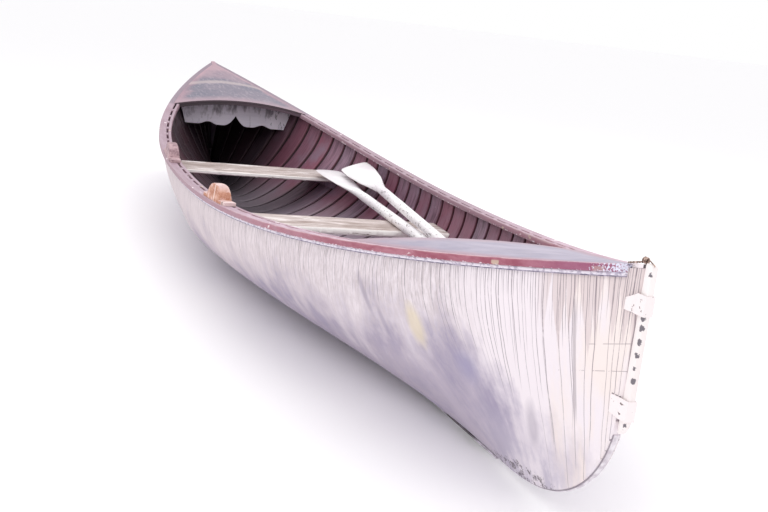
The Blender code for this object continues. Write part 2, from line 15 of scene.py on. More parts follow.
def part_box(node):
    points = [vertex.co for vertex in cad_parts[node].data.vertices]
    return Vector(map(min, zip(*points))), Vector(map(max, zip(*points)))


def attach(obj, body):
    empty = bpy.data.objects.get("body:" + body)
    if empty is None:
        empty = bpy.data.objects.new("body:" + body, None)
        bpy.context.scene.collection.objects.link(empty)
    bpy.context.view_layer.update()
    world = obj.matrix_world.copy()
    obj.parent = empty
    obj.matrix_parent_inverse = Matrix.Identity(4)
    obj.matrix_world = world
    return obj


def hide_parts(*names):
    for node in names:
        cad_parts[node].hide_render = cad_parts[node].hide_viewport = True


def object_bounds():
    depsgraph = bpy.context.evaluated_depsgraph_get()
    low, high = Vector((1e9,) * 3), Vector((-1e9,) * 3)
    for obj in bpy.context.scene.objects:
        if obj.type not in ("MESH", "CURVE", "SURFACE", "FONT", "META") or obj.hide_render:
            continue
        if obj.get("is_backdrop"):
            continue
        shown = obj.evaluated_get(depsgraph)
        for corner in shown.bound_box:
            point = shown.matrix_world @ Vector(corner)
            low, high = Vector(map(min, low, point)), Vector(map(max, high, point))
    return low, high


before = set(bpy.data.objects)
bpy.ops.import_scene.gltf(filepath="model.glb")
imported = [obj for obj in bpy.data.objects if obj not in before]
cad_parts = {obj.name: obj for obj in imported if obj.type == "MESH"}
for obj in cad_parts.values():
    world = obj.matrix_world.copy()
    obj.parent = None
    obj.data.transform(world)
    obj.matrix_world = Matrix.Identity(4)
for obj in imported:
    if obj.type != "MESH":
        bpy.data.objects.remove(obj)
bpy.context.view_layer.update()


# Canvas skin
# One piece of cotton canvas, stretched wet over the planking, filled and painted white.
# The filler is brittle: it has cracked in fine lines down the girth. Low down it turns lilac-grey, painted
# shade with grey dirt.

def add_node(tree, kind, feeds=None, **settings):
    """Adds a node with its settings and links, and returns it.

    Kinds go without GeometryNode or ShaderNode. As a kind or as a feed, ("+", a, b) or ("POWER", a, b) is
    a Math node and ("MapRange", a, 0.2, 0.4) another kind of node, with its inputs in order.
    """
    if isinstance(kind, tuple):
        feeds = dict(enumerate(kind[1:]))
        kind = {"+": "ADD", "-": "SUBTRACT", "*": "MULTIPLY", "/": "DIVIDE"}.get(kind[0], kind[0])
        if kind.isupper():
            kind, settings = "Math", {"operation": kind}
    node = tree.nodes.new(next(group + kind for group in ("GeometryNode", "ShaderNode", "")
                               if hasattr(bpy.types, group + kind)))
    for name, value in settings.items():
        setattr(node, name, value)
    for key, fed in (feeds or {}).items():
        taker = node.inputs[key] if isinstance(key, int) else next(
            socket for socket in node.inputs if socket.name == key and socket.enabled)
        if isinstance(fed, tuple) and isinstance(fed[0], str):
            fed = add_node(tree, fed)
        if isinstance(fed, str) and fed.startswith("#"):
            fed = linear(fed)
        if isinstance(fed, bpy.types.Node):
            fed = next(socket for socket in fed.outputs if socket.enabled)
        if isinstance(fed, bpy.types.NodeSocket):
            tree.links.new(fed, taker)
        else:
            taker.default_value = fed
    return node


def linear(code):
    """An sRGB hex colour as linear red, green, blue and alpha."""
    parts = [int(code[at:at + 2], 16) / 255.0 for at in (1, 3, 5)]
    return (*(p / 12.92 if p <= 0.04045 else ((p + 0.055) / 1.055) ** 2.4 for p in parts), 1.0)


def new_material(name):
    """A material without nodes, the function that adds nodes to it, and the coordinates of the object."""
    made = bpy.data.materials.new(name)
    made.use_nodes = True
    made.node_tree.nodes.clear()
    add = functools.partial(add_node, made.node_tree)
    return made, add, add("TexCoord").outputs["Object"]


def drawn_out(add, where, stretch, scale, detail, roughness=0.5):
    """Noise in a pattern drawn out along the axes whose stretch is small, as grain and brush marks are."""
    spread = add("Mapping", {"Vector": where, "Scale": stretch})
    return add("TexNoise", {"Vector": spread, "Scale": scale, "Detail": detail, "Roughness": roughness})


def lay_coats(add, colour, coats, looks):
    """Lays colours over one another, each through its own mask, and gives them to the surface."""
    for mask, coat in coats:
        colour = add("Mix", {"Factor": mask, "A": colour, "B": coat}, data_type="RGBA")
    add("OutputMaterial", {"Surface": add("BsdfPrincipled", {"Base Color": colour, **looks})})


def new_tree(name, sizes, results=(("Mesh", "NodeSocketGeometry"),)):
    """A Geometry Nodes tree that takes these sizes, the function that adds nodes to it, and its inputs."""
    tree = bpy.data.node_groups.new(name, "GeometryNodeTree")
    for label, kind in results:
        tree.interface.new_socket(label, in_out="OUTPUT", socket_type=kind)
    for label, value in sizes.items():
        kind = {int: "NodeSocketInt", float: "NodeSocketFloat"}.get(type(value), "NodeSocketMaterial")
        tree.interface.new_socket(label, in_out="INPUT", socket_type=kind).default_value = value
    return tree, functools.partial(add_node, tree), tree.nodes.new("NodeGroupInput").outputs


def hand_out(add, shape, position, size):
    """Moves the points of a tree's shape, gives it its finish and hands it out."""
    moved = add("SetPosition", {"Geometry": shape, "Position": position})
    add("NodeGroupOutput", {"Mesh": add("SetMaterial", {"Geometry": moved, "Material": size["Finish"]})})


def new_object(name, data):
    made = bpy.data.objects.new(name, data)
    bpy.context.scene.collection.objects.link(made)
    return made


def smooth(made, angle=40.0):
    made.data.shade_smooth()
    made.data.set_sharp_from_angle(angle=math.radians(angle))
    return made


def grow(name, tree, sizes):
    """Runs a tree with its own sizes and keeps the result as a plain smooth mesh that rides on the hull."""
    made = new_object(name, bpy.data.meshes.new(name))
    nodes = made.modifiers.new(tree.name, "NODES")
    nodes.node_group = tree
    for label, value in sizes.items():
        nodes[tree.interface.items_tree[label].identifier] = value
    graph = bpy.context.evaluated_depsgraph_get()
    made.data = bpy.data.meshes.new_from_object(made.evaluated_get(graph), preserve_all_data_layers=True,
                                                depsgraph=graph)
    made.modifiers.clear()
    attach(made, "hull")
    return smooth(made)


# The rule of the hull, from a place along the boat and a turn round its girth (1 port rail, 0 keel)
hull_sizes = {
    "Along": 0.0, "Turn": 0.0, "Inset": 0.0, "Drop": 0.0, "Half length": 2.44, "Half beam": 0.555,
    "Plan fullness": 2.35, "Plan point": 0.944, "Rail width": 0.0163, "Lip": 0.0083, "Depth middle": 0.380,
    "Depth ends": 0.660, "Sheer power": 2.1, "Bow end": 2.4357, "Stern end": 2.4127, "Forefoot length": 0.507,
    "Forefoot height": 0.400, "Forefoot round": 2.45, "Keel depth": 0.007, "Rocker": 0.020,
    "Rocker flat": 0.35, "Rocker end": 1.90, "Rocker power": 1.6, "Bilge middle": 2.50, "Bilge loss": 1.63,
    "Bilge fade": 0.82, "Stem half": 0.012, "Stem round": 0.008, "Least half": 0.004, "Least thin": 0.04}
hull_results = (("Point", "NodeSocketVector"), ("Sheer", "NodeSocketFloat"), ("Side", "NodeSocketFloat"),
                ("Thin", "NodeSocketFloat"))
hull_lines, add, size = new_tree("Hull lines", hull_sizes, hull_results)
away = add(("ABSOLUTE", size["Along"]))
share = add(("MINIMUM", ("/", away, size["Half length"]), 1.0))
plan = ("POWER", ("-", 1.0, ("POWER", share, size["Plan fullness"])), size["Plan point"])
rail = add(("*", size["Half beam"], plan))
half = add(("MAXIMUM", ("-", rail, size["Rail width"]), size["Stem half"]))
rise = ("*", ("-", size["Depth ends"], size["Depth middle"]), ("POWER", share, size["Sheer power"]))
sheer = add(("+", size["Depth middle"], rise))
top = add(("-", sheer, size["Lip"]))
ends_apart = ("*", ("-", size["Bow end"], size["Stern end"]), ("GREATER_THAN", size["Along"], 0.0))
from_end = add(("-", ("+", size["Stern end"], ends_apart), away))
reach = ("MINIMUM", ("MAXIMUM", ("-", 1.0, ("/", from_end, size["Forefoot length"])), 0.0), 1.0)
curl = ("POWER", ("-", 1.0, ("POWER", reach, size["Forefoot round"])), ("/", 1.0, size["Forefoot round"]))
rocking = ("/", ("-", away, size["Rocker flat"]), ("-", size["Rocker end"], size["Rocker flat"]))
rocked = ("POWER", ("MINIMUM", ("MAXIMUM", rocking, 0.0), 1.0), size["Rocker power"])
low = add(("+", size["Keel depth"], ("*", size["Rocker"], rocked)))
lift = ("*", ("-", size["Forefoot height"], low), ("-", 1.0, curl))
bottom = add(("+", low, lift))
lost = ("*", size["Bilge loss"], ("POWER", share, size["Bilge fade"]))
power = add(("MAXIMUM", ("-", size["Bilge middle"], lost), 1.0))
angle = add(("*", ("-", 1.0, ("ABSOLUTE", size["Turn"])), math.pi / 2))
bend = add(("/", 2.0, power))
across = ("POWER", ("MAXIMUM", ("COSINE", angle), 0.0), bend)
down = ("POWER", ("MAXIMUM", ("SINE", angle), 0.0), bend)
flat = add(("MAXIMUM", ("-", size["Stem half"], size["Inset"]), size["Least half"]))
breadth = ("-", ("-", half, size["Inset"]), flat)
side = add(("+", flat, ("*", breadth, across)))
short_of_end = ("MINIMUM", ("/", ("MAXIMUM", from_end, 0.0), size["Stem round"]), 1.0)
nose = ("SQRT", ("-", 1.0, ("POWER", ("-", 1.0, short_of_end), 2.0)))
y = ("*", ("*", side, nose), ("SIGN", size["Turn"]))
z = ("-", top, ("*", ("-", ("-", top, bottom), size["Inset"]), down))
dropped = ("MINIMUM", ("/", ("MAXIMUM", size["Drop"], 0.0), ("-", top, bottom)), 1.0)
kept = ("POWER", ("-", 1.0, ("POWER", dropped, power)), ("/", 1.0, power))
wall = ("+", size["Stem half"], ("*", ("-", half, size["Stem half"]), kept))
thin = ("MINIMUM", ("/", ("-", rail, half), size["Rail width"]), 1.0)
add("NodeGroupOutput", {"Point": ("CombineXYZ", size["Along"], y, z), "Sheer": sheer, "Side": wall,
                        "Thin": ("MAXIMUM", thin, size["Least thin"])})

# A board bent over that rule, between two insets
layer_sizes = {"Aft": -hull_sizes["Stern end"], "Forward": hull_sizes["Bow end"], "Outside": 0.0,
               "Inside": 0.003, "Steps along": 241, "Steps round": 81, "Finish": None}
hull_layer, add, size = new_tree("Hull layer", layer_sizes)
block = add("MeshCube", {"Size": (2.0, 2.0, 2.0), "Vertices X": size["Steps along"],
                         "Vertices Y": size["Steps round"], "Vertices Z": 2})
x, y, z = add(("SeparateXYZ", ("InputPosition",))).outputs
turned = add("StoreNamedAttribute", {"Geometry": block, "Name": "turn", "Value": y})
deep = add("StoreNamedAttribute", {"Geometry": turned, "Name": "depth", "Value": z})
eased = ("SINE", ("*", x, math.pi / 2))
along = ("+", ("*", ("-", size["Forward"], size["Aft"]), ("*", eased, 0.5)),
         ("*", ("+", size["Forward"], size["Aft"]), 0.5))
inset = add(("MapRange", z, -1.0, 1.0, size["Outside"], size["Inside"]))
point = add("Group", {"Along": along, "Turn": y, "Inset": inset}, node_tree=hull_lines)
hand_out(add, deep, point.outputs["Point"], size)


def rail_line(x, below=0.0):
    """Nodes for the height of the rails over a place along the boat, less a depth."""
    rise = hull_sizes["Depth ends"] - hull_sizes["Depth middle"]
    share = ("/", ("ABSOLUTE", x), hull_sizes["Half length"])
    return ("+", hull_sizes["Depth middle"] - below, ("*", rise, ("POWER", share, hull_sizes["Sheer power"])))


# Oil paint on filled cotton: matt and chalky. Its cracks stand 15 to 30 mm apart, 1 to 2 mm wide; they run
# the full depth at the stern and shorter towards the middle, leaning forward there, down to the lilac-grey
# low on the hull, painted shade with grey dirt.
canvas_paint, add, where = new_material("chalky_white_paint_on_canvas")
x, y, z = add(("SeparateXYZ", where)).outputs
below = add(("-", rail_line(x, 0.026), z))
lean = ("MapRange", x, -2.30, -1.55, 0.0, 0.60)
bow_aft = ("MapRange", x, -2.12, -1.93, 0.45, 1.4)
straight_again = ("MapRange", x, -1.75, -1.45, 0.0, 1.2)
straight_aft = ("MapRange", x, -2.12, -2.30, 0.0, 0.30)
bowed = ("*", ("-", ("-", bow_aft, straight_again), straight_aft), below)
track = add(("-", x, ("*", ("-", lean, bowed), below)))
tracked = add(("CombineXYZ", track, y, below))
cloud = add("TexNoise", {"Vector": where, "Scale": 4.6, "Detail": 6.0, "Roughness": 0.62})
fine = add("TexNoise", {"Vector": where, "Scale": 34.0, "Detail": 5.0, "Roughness": 0.7})
girthwise = add("Mapping", {"Vector": tracked, "Scale": (16.0, 3.0, 4.0)})
streaks = add("TexNoise", {"Vector": girthwise, "Scale": 1.0, "Detail": 4.0, "Roughness": 0.6})
strokes = add("TexNoise", {"Vector": girthwise, "Scale": 7.0, "Detail": 4.0, "Roughness": 0.7})
# Below a ragged line the paint turns lilac-grey: painted shade with grey dirt, kept lighter near the stern
# foot.
shade_and_dirt_line = ("MapRange", x, -2.17, -1.88, 0.40, 0.14)
ragged = ("+", ("*", ("-", cloud, 0.5), 0.45), ("*", ("-", streaks, 0.5), 0.30))
shade_and_soil = add(("MapRange", ("+", ("-", below, shade_and_dirt_line), ragged), -0.07, 0.13))
lighter_foot = ("MapRange", x, -2.08, -1.86, 0.75, 0.0)
lighter_foot = ("*", lighter_foot, ("MapRange", z, 0.20, 0.11))
low_shade_and_dirt = add(("*", ("*", shade_and_soil, ("-", 1.0, lighter_foot)),
            ("+", 0.32, ("+", ("*", streaks, 0.40), ("*", cloud, 0.50)))))
forward = ("MapRange", ("+", x, cloud), -1.2, 0.8)
clean = add("Mix", {"Factor": forward, "A": "#ece3e8", "B": "#cfc1c5"}, data_type="RGBA")
patch = ("MapRange", ("+", cloud, ("*", streaks, 0.5)), 0.76, 0.92, 0.0, 0.5)
dusty = ("MapRange", ("+", x, ("*", cloud, 0.2)), -1.93, -1.78)
dusty = ("*", dusty, ("MapRange", below, 0.24, 0.10, 0.35, 1.0))
dusty = ("*", dusty, ("MapRange", strokes, 0.38, 0.62, 0.15, 0.8))
by_the_stern = ("MapRange", x, -1.95, -2.35)
cream = ("MapRange", ("*", streaks, by_the_stern), 0.36, 0.52, 0.0, 0.8)
stains = []
for spot, reach, stain_colour in (((-1.765, 0.325), (0.030, 0.055), "#e4d5ae"),
                                  ((-1.925, 0.270), (0.045, 0.050), "#9d98b8"),
                                  ((-2.140, 0.200), (0.022, 0.055), "#a59cab"),
                                  ((-1.585, 0.350), (0.012, 0.060), "#958b9f"),
                                  ((-1.625, 0.290), (0.012, 0.055), "#9a90a5")):
    off_x = ("/", ("-", x, spot[0]), reach[0])
    off_z = ("/", ("-", z, spot[1]), reach[1])
    off = ("SQRT", ("+", ("POWER", off_x, 2.0), ("POWER", off_z, 2.0)))
    stain = ("MapRange", ("+", off, ("*", ("-", streaks, 0.5), 1.6)), 1.2, 0.4, 0.0, 0.55)
    stains.append((stain, stain_colour))

cracked = None
for pitch, swing, least, most, depth, missing in ((68.0, 1.3, 0.045, 0.085, 1.0, 0.68),
                                                  (150.0, 1.6, 0.10, 0.16, 0.22, 0.25),
                                                  (34.0, 0.8, 0.026, 0.050, 1.0, 0.34)):
    shifted = add("Mapping", {"Vector": tracked, "Location": (pitch, 0.0, 0.0), "Scale": (9.0, 1.0, 4.0)})
    sway = add("TexNoise", {"Vector": shifted, "Scale": 1.0, "Detail": 3.0})
    run = add(("+", ("*", track, pitch), ("*", sway, swing)))
    chances = add("TexWhiteNoise", {"W": ("FLOOR", run)}, noise_dimensions="1D")
    first, second, third = add(("SeparateXYZ", chances.outputs["Color"])).outputs
    off = add(("ABSOLUTE", ("-", ("FRACT", run), ("+", 0.25, ("*", first, 0.5)))))
    width = ("+", least, ("*", second, most - least))
    line = ("MapRange", off, ("*", width, 0.35), width, 1.0, 0.0)
    span = ("MapRange", x, -2.24, -2.13, 0.60, 0.30)
    shorter = ("MapRange", x, -2.13, -1.80, 0.0, 0.18)
    limit = ("*", ("+", 0.55, ("*", third, 0.60)), ("*", ("-", span, shorter), depth))
    short = ("MapRange", ("-", below, limit), -0.03, 0.02, 1.0, 0.0)
    crowded = ("MapRange", x, -1.60, 0.4, 0.10, 0.96)
    sparse = ("MapRange", x, -2.18, -2.23, 0.0, missing)
    there = ("GREATER_THAN", chances, ("MAXIMUM", crowded, sparse))
    faint = ("+", 0.35, ("*", first, 0.65))
    broken = ("MapRange", ("+", fine, ("*", sway, 0.5)), 0.56, 0.70, 0.45, 1.0)
    one = add(("*", ("*", line, ("*", short, faint)), ("*", there, broken)))
    cracked = one if cracked is None else add(("MAXIMUM", cracked, one))
tip = ("+", ("*", fine, 0.05), ("+", 0.10, ("*", third, 0.06)))
wedge = ("MapRange", ("-", tip, ("+", below, ("*", off, 0.22))), -0.01, 0.016, 0.0, 0.85)
wedge = ("*", wedge, ("MapRange", x, -2.17, -2.21))
broad = ("MapRange", ("ABSOLUTE", ("+", track, 2.270)), 0.0042, 0.0028, 0.0, 0.75)
broad = ("*", broad, ("MapRange", ("ABSOLUTE", ("-", below, 0.19)), 0.15, 0.10))
for height in (0.455, 0.396):
    off = ("ABSOLUTE", ("-", z, ("-", height, ("*", ("+", x, 2.315), 0.33))))
    scratch = ("MapRange", off, 0.0012, 0.0005)
    scratch = ("*", scratch, ("GREATER_THAN", ("*", fine, -1.0), ("+", x, 1.82)))
    cracked = add(("MAXIMUM", cracked, ("*", scratch, 0.6)))
grit = add("TexNoise", {"Vector": where, "Scale": 80.0, "Detail": 5.0, "Roughness": 0.7})
rub_top = ("MapRange", x, -1.80, -2.05, 0.09, 0.145)
rubbed = ("MapRange", ("-", z, rub_top), 0.0, -0.075)
at_foot = ("MapRange", x, -1.85, -2.00, 0.0, 0.07)
scuffs = ("MapRange", ("*", ("+", grit, at_foot), rubbed), 0.56, 0.62, 0.0, 0.8)
weave = add("TexNoise", {"Vector": where, "Scale": 240.0, "Detail": 2.0})
height = ("+", ("*", weave, 0.12), ("*", cracked, -1.0))
relief = add("Bump", {"Strength": 0.4, "Distance": 0.0012, "Height": height})
dull = ("MapRange", low_shade_and_dirt, 0.0, 1.0, 0.58, 0.75)
lay_coats(add, clean, [(low_shade_and_dirt, "#9c91aa"), (("*", patch, shade_and_soil), "#9790ab"), (dusty, "#c8bcbf"),
                       (cream, "#efe2dd"), *stains, (wedge, "#d9cacb"), (broad, "#b5abb0"),
                       (("*", cracked, 0.95), "#7f727c"), (scuffs, "#5a5058")],
          {"Roughness": dull, "Normal": relief, "Specular IOR Level": 0.35})

canvas = grow("canvas", hull_layer, {"Finish": canvas_paint})
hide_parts("canvas_skin")

hull_surface = BVHTree.FromObject(canvas, bpy.context.evaluated_depsgraph_get())
turns = np.zeros(len(canvas.data.vertices))
canvas.data.attributes["turn"].data.foreach_get("value", turns)
depths = np.zeros(len(canvas.data.vertices))
canvas.data.attributes["depth"].data.foreach_get("value", depths)
places = np.array([corner.co for corner in canvas.data.vertices])
at_rail = places[(turns > 0.999) & (depths < -0.999)]
at_rail = at_rail[np.argsort(at_rail[:, 0])]


def canvas_half(x):
    """Half breadth outside the canvas at the rail."""
    return max(float(np.interp(x, at_rail[:, 0], at_rail[:, 1])), hull_sizes["Stem half"])


def sheer_at(x):
    """Height of the top of the rails."""
    return float(np.interp(x, at_rail[:, 0], at_rail[:, 2])) + hull_sizes["Lip"]


def hull_side(x, z):
    """Half breadth outside the canvas at a height."""
    hit = hull_surface.ray_cast(Vector((x, 1.0, z)), Vector((0.0, -1.0, 0.0)))[0]
    return hit.y if hit else 0.0


# Planking and ribs
# Thin cedar planking run fore and aft, with wide flat steamed ribs clenched inside it.
# Both are varnished, gone dark purple-brown; the planking between the ribs is coloured near black as painted
# shade, and the gaps between the ribs hold dirt and red old paint.
cedar, add, where = new_material("dark_varnished_cedar")
tint = add("Attribute", attribute_name="tint").outputs["Fac"]
edge = add("Attribute", attribute_name="edge").outputs["Fac"]
girth = add("Attribute", attribute_name="turn").outputs["Fac"]
x, y, z = add(("SeparateXYZ", where)).outputs
run = ("CombineXYZ", x, ("*", girth, 0.06), ("*", tint, 3.0))
grain = add("TexNoise", {"Vector": run, "Scale": 90.0, "Detail": 5.0, "Roughness": 0.65})
cloud = add("TexNoise", {"Vector": where, "Scale": 5.0, "Detail": 5.0, "Roughness": 0.6})
streaky = ("MapRange", grain, 0.34, 0.66)
red = ("MapRange", ("+", tint, ("+", cloud, grain)), 1.1, 2.0, 0.0, 0.85)
grey = ("MapRange", cloud, 0.50, 0.68, 0.0, 0.6)
maroon = ("MapRange", edge, 0.35, 0.95, 0.0, 0.7)
on_floor = ("MapRange", z, 0.17, 0.04, 0.0, 0.85)
# Forward on the port side the ribs go near black: painted shade under the forward deck.
forward_port = ("+", x, ("*", y, 0.9))
painted_shade_under_deck = ("MapRange", forward_port, 0.95, 1.65, 0.0, 0.85)
bits = add("TexVoronoi", {"Vector": where, "Scale": 16.0})
bits = ("MapRange", bits.outputs["Distance"], 0.055, 0.045)
rare = ("MapRange", cloud, 0.57, 0.60)
relief = add("Bump", {"Strength": 0.35, "Distance": 0.001, "Height": grain})
lay_coats(add, "#523847", [(streaky, "#9d7f93"), (red, "#87465a"), (grey, "#85788a"), (maroon, "#5e2834"),
                           (on_floor, "#a298a4"), (painted_shade_under_deck, "#1c151a"), (("*", bits, rare), "#d5cdd2")],
          {"Roughness": 0.5, "Normal": relief, "Coat Weight": 0.15, "Coat Roughness": 0.35})

# The planking's near-black colour is painted shade deep between the ribs.
shaded_planking, add, where = new_material("cedar_planking_in_shadow")
girth = add("Attribute", attribute_name="turn").outputs["Fac"]
plank = ("FRACT", ("*", ("ABSOLUTE", girth), 8.5))
seam = ("MapRange", ("ABSOLUTE", ("-", plank, 0.5)), 0.47, 0.495)
grain = drawn_out(add, where, (0.06, 1.0, 1.0), 60.0, 4.0)
lay_coats(add, "#1c0e13", [(grain, "#33161e"), (seam, "#100a0c")], {"Roughness": 0.65})
grow("planking", hull_layer, {"Aft": -2.2642, "Forward": 2.2872, "Outside": 0.0035, "Inside": 0.009,
                              "Steps along": 121, "Finish": shaded_planking})


def point_row(add, size):
    """Points along the boat, as many as the count, with the middle of the row at zero."""
    first = ("*", ("*", ("-", size["Count"], 1.0), -0.5), size["Pitch"])
    return add("MeshLine", {"Count": size["Count"], "Start Location": ("CombineXYZ", first),
                            "Offset": ("CombineXYZ", size["Pitch"])})


rib_sizes = {"Count": 35, "Pitch": 0.128, "Width": 0.106, "Outside": 0.0088, "Inside": 0.017,
             "Edge round": 0.0030, "Seed": 7, "Finish": None}
rib_tree, add, size = new_tree("Ribs", rib_sizes)
line = point_row(add, size)
slat = add("MeshCube", {"Size": (2.0, 2.0, 2.0), "Vertices X": 9, "Vertices Y": 61, "Vertices Z": 2})
x, y, z = add(("SeparateXYZ", ("InputPosition",))).outputs
edge = ("SINE", ("*", x, math.pi / 2))
wide = ("CombineXYZ", ("*", edge, ("*", size["Width"], 0.5)), y, z)
rounding = ("POWER", ("MAXIMUM", ("/", ("-", ("ABSOLUTE", edge), 0.90), 0.10), 0.0), 2.0)
stored = add("StoreNamedAttribute", {"Geometry": slat, "Name": "edge", "Value": rounding})
stored = add("StoreNamedAttribute", {"Geometry": stored, "Name": "turn", "Value": y})
slat = add("SetPosition", {"Geometry": stored, "Position": wide})
ribs_set = add("InstanceOnPoints", {"Points": line, "Instance": slat})
chance = add("FunctionNodeRandomValue", {"Seed": size["Seed"]})
ribs_set = add("StoreNamedAttribute", {"Geometry": ribs_set, "Name": "tint", "Value": chance.outputs[1]},
               domain="INSTANCE")
ribs_set = add("RealizeInstances", {"Geometry": ribs_set})
x, y, z = add(("SeparateXYZ", ("InputPosition",))).outputs
eased = ("*", add("InputNamedAttribute", {"Name": "edge"}), size["Edge round"])
inset = ("MapRange", z, -1.0, 1.0, size["Outside"], ("-", size["Inside"], eased))
point = add("Group", {"Along": x, "Turn": y, "Inset": inset}, node_tree=hull_lines)
hand_out(add, ribs_set, point.outputs["Point"], size)
ribs = grow("ribs", rib_tree, {"Finish": cedar})
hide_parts("ribs_and_planking")
to_rib_face = 0.0207  # from outside the canvas to just clear of the ribs' inner face


# Stems and keel shoe
# Steamed hardwood stems close the shell inside, in the dark varnish of the ribs.
# Outside, a flat wooden keel runs from foot to foot, painted with the hull and rubbed grey by the ground.

def repaint(finish, *names):
    """Gives a finish to pieces of the frame that stay as they are."""
    for name in names:
        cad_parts[name].data.materials.clear()
        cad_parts[name].data.materials.append(finish)


repaint(cedar, "stem_bow", "stem_stern")


def solid(name, rows, finish, body="hull", sharp=40.0):
    """A closed solid through rows of points, each row a ring round the piece, with capped ends."""
    builder = bmesh.new()
    made = [[builder.verts.new(point) for point in row] for row in rows]
    for row, following in zip(made, made[1:]):
        for left in range(len(row)):
            right = (left + 1) % len(row)
            builder.faces.new((row[left], row[right], following[right], following[left]))
    builder.faces.new(made[0])
    builder.faces.new(made[-1])
    bmesh.ops.recalc_face_normals(builder, faces=builder.faces)
    mesh = bpy.data.meshes.new(name)
    builder.to_mesh(mesh)
    builder.free()
    mesh.materials.append(finish)
    piece = new_object(name, mesh)
    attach(piece, body)
    return smooth(piece, sharp)


def rounded(width, height, corner, steps=3):
    """A rectangle's outline about its middle, its corners rounded."""
    points = []
    for quarter, (sx, sy) in enumerate(((1, 1), (-1, 1), (-1, -1), (1, -1))):
        for step in range(steps + 1):
            turn = math.pi / 2 * (quarter + step / steps)
            points.append((sx * (width / 2 - corner) + corner * math.cos(turn),
                           sy * (height / 2 - corner) + corner * math.sin(turn)))
    return points


def rocker(x):
    """How far the underside of the keel stands off the floor."""
    share = (abs(x) - hull_sizes["Rocker flat"]) / (hull_sizes["Rocker end"] - hull_sizes["Rocker flat"])
    return hull_sizes["Rocker"] * min(max(share, 0.0), 1.0) ** hull_sizes["Rocker power"]


def mottled(name, colours, span, looks, noise):
    """A surface of one colour with another in patches, where a noise rises through the span."""
    made, add, where = new_material(name)
    patches = ("MapRange", drawn_out(add, where, *noise), *span)
    lay_coats(add, colours[0], [(patches, colours[1])], looks)
    return made


keel_paint = mottled("worn_paint_on_keel", ("#c9c0cc", "#5c5459"), (0.42, 0.56), {"Roughness": 0.7},
                     ((0.3, 1.0, 1.0), 22.0, 5.0, 0.65))
keel_rows = []
keel_aft, keel_forward, keel_half, end_half, keel_middle = -1.9057, 1.9287, 0.032, 0.013, 0.00335
for x in np.linspace(keel_aft, keel_forward, 121):
    half_width = keel_half + (end_half - keel_half) * abs(x / keel_forward) ** 3
    keel_rows.append([Vector((x, y, rocker(x) + keel_middle + z))
                      for y, z in rounded(2 * half_width, 0.0064, 0.002)])
keel = solid("keel", keel_rows, keel_paint)
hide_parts("keel_shoe")


# Stem bands
# A half-oval brass strip, bent round each forefoot and screwed through the canvas into the stem.
# Splashed with hull paint and dulled, it looks pale grey, darker along both edges.
dull_brass, add, where = new_material("dull_brass_strip")
rub = add("TexNoise", {"Vector": where, "Scale": 45.0, "Detail": 5.0})
worn = ("MapRange", rub, 0.40, 0.60)
dull = ("MapRange", rub, 0.4, 0.7, 0.35, 0.65)
x, y, z = add(("SeparateXYZ", where)).outputs
at_edge = ("MapRange", ("ABSOLUTE", y), 0.0058, 0.0072, 0.0, 0.7)
lay_coats(add, "#e6e0e6", [(worn, "#c9bfc8"), (at_edge, "#6d626e")], {"Roughness": dull, "Metallic": 0.1})


def forefoot_line(end, hull_end, top):
    """The stem's profile as (place, height, outward direction) from the keel up."""
    length, height, power = (hull_sizes["Forefoot " + label] for label in ("length", "height", "round"))
    rise = height - hull_sizes["Keel depth"] - hull_sizes["Rocker"]
    line = []
    for turn in np.linspace(0.0, math.pi / 2, 41):
        reach, drop = math.sin(turn) ** (2 / power), math.cos(turn) ** (2 / power)
        out = Vector((reach ** (power - 1) / length, 0.0, -drop ** (power - 1) / rise)).normalized()
        x, z = end * (hull_end - length * (1.0 - reach)), height - rise * drop
        line.append((x, z, Vector((end * out.x, 0.0, out.z))))
    for z in np.linspace(height + 0.02, top, 6) if top > height + 0.02 else ():
        line.append((end * hull_end, z, Vector((end, 0.0, 0.0))))
    return [entry for entry in line if entry[1] <= top]


band_half, band_bulge, band_lift, band_steps = 0.008, 0.0036, 0.0005, 8
for name, end, hull_end, top in (("stem_band_bow", 1, hull_sizes["Bow end"], 0.657),
                                 ("stem_band_stern", -1, hull_sizes["Stern end"], 0.288)):
    rows = []
    for x, z, out in forefoot_line(end, hull_end, top):
        ring = []
        for step in range(band_steps + 1):
            turn = math.pi * step / band_steps
            bulge = out * (band_lift + band_bulge * math.sin(turn) ** 0.6)
            ring.append(Vector((x, band_half * math.cos(turn), z)) + bulge)
        rows.append(ring + [Vector((x, 0.0079 * side, z)) - out * 0.001 for side in (-1, 1)])
    band = solid("smooth_" + name, rows, dull_brass)
    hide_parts(name)


# Rails
# Long battens bent to the sheer: the outer rail with a cap over the rib heads, the inner rail held off
# the ribs by spacer blocks. Deep pink-red paint on the sides, pale on top as a painted reflection of the sky,
# with a painted highlight and wear along the upper corner; grey beside the forward deck and chipped to
# blue-white primer at the stern end.
red_paint, add, where = new_material("faded_red_paint_on_rails")
upward = add(("SeparateXYZ", add("NewGeometry").outputs["Normal"]))
x, y, z = add(("SeparateXYZ", where)).outputs
rub = drawn_out(add, where, (0.16, 1.0, 1.0), 34.0, 5.0, 0.68)
spots = drawn_out(add, where, (0.45, 1.0, 1.0), 24.0, 5.0, 0.6)
spread = add(("MapRange", rub, 0.38, 0.62))
sides = add("Mix", {"Factor": spread, "A": "#92455a", "B": "#ab6b7b"}, data_type="RGBA")
faded = ("MapRange", ("+", x, spots), -1.2, -0.4, 0.0, 0.65)
sides = add("Mix", {"Factor": faded, "A": sides, "B": "#ab8290"}, data_type="RGBA")
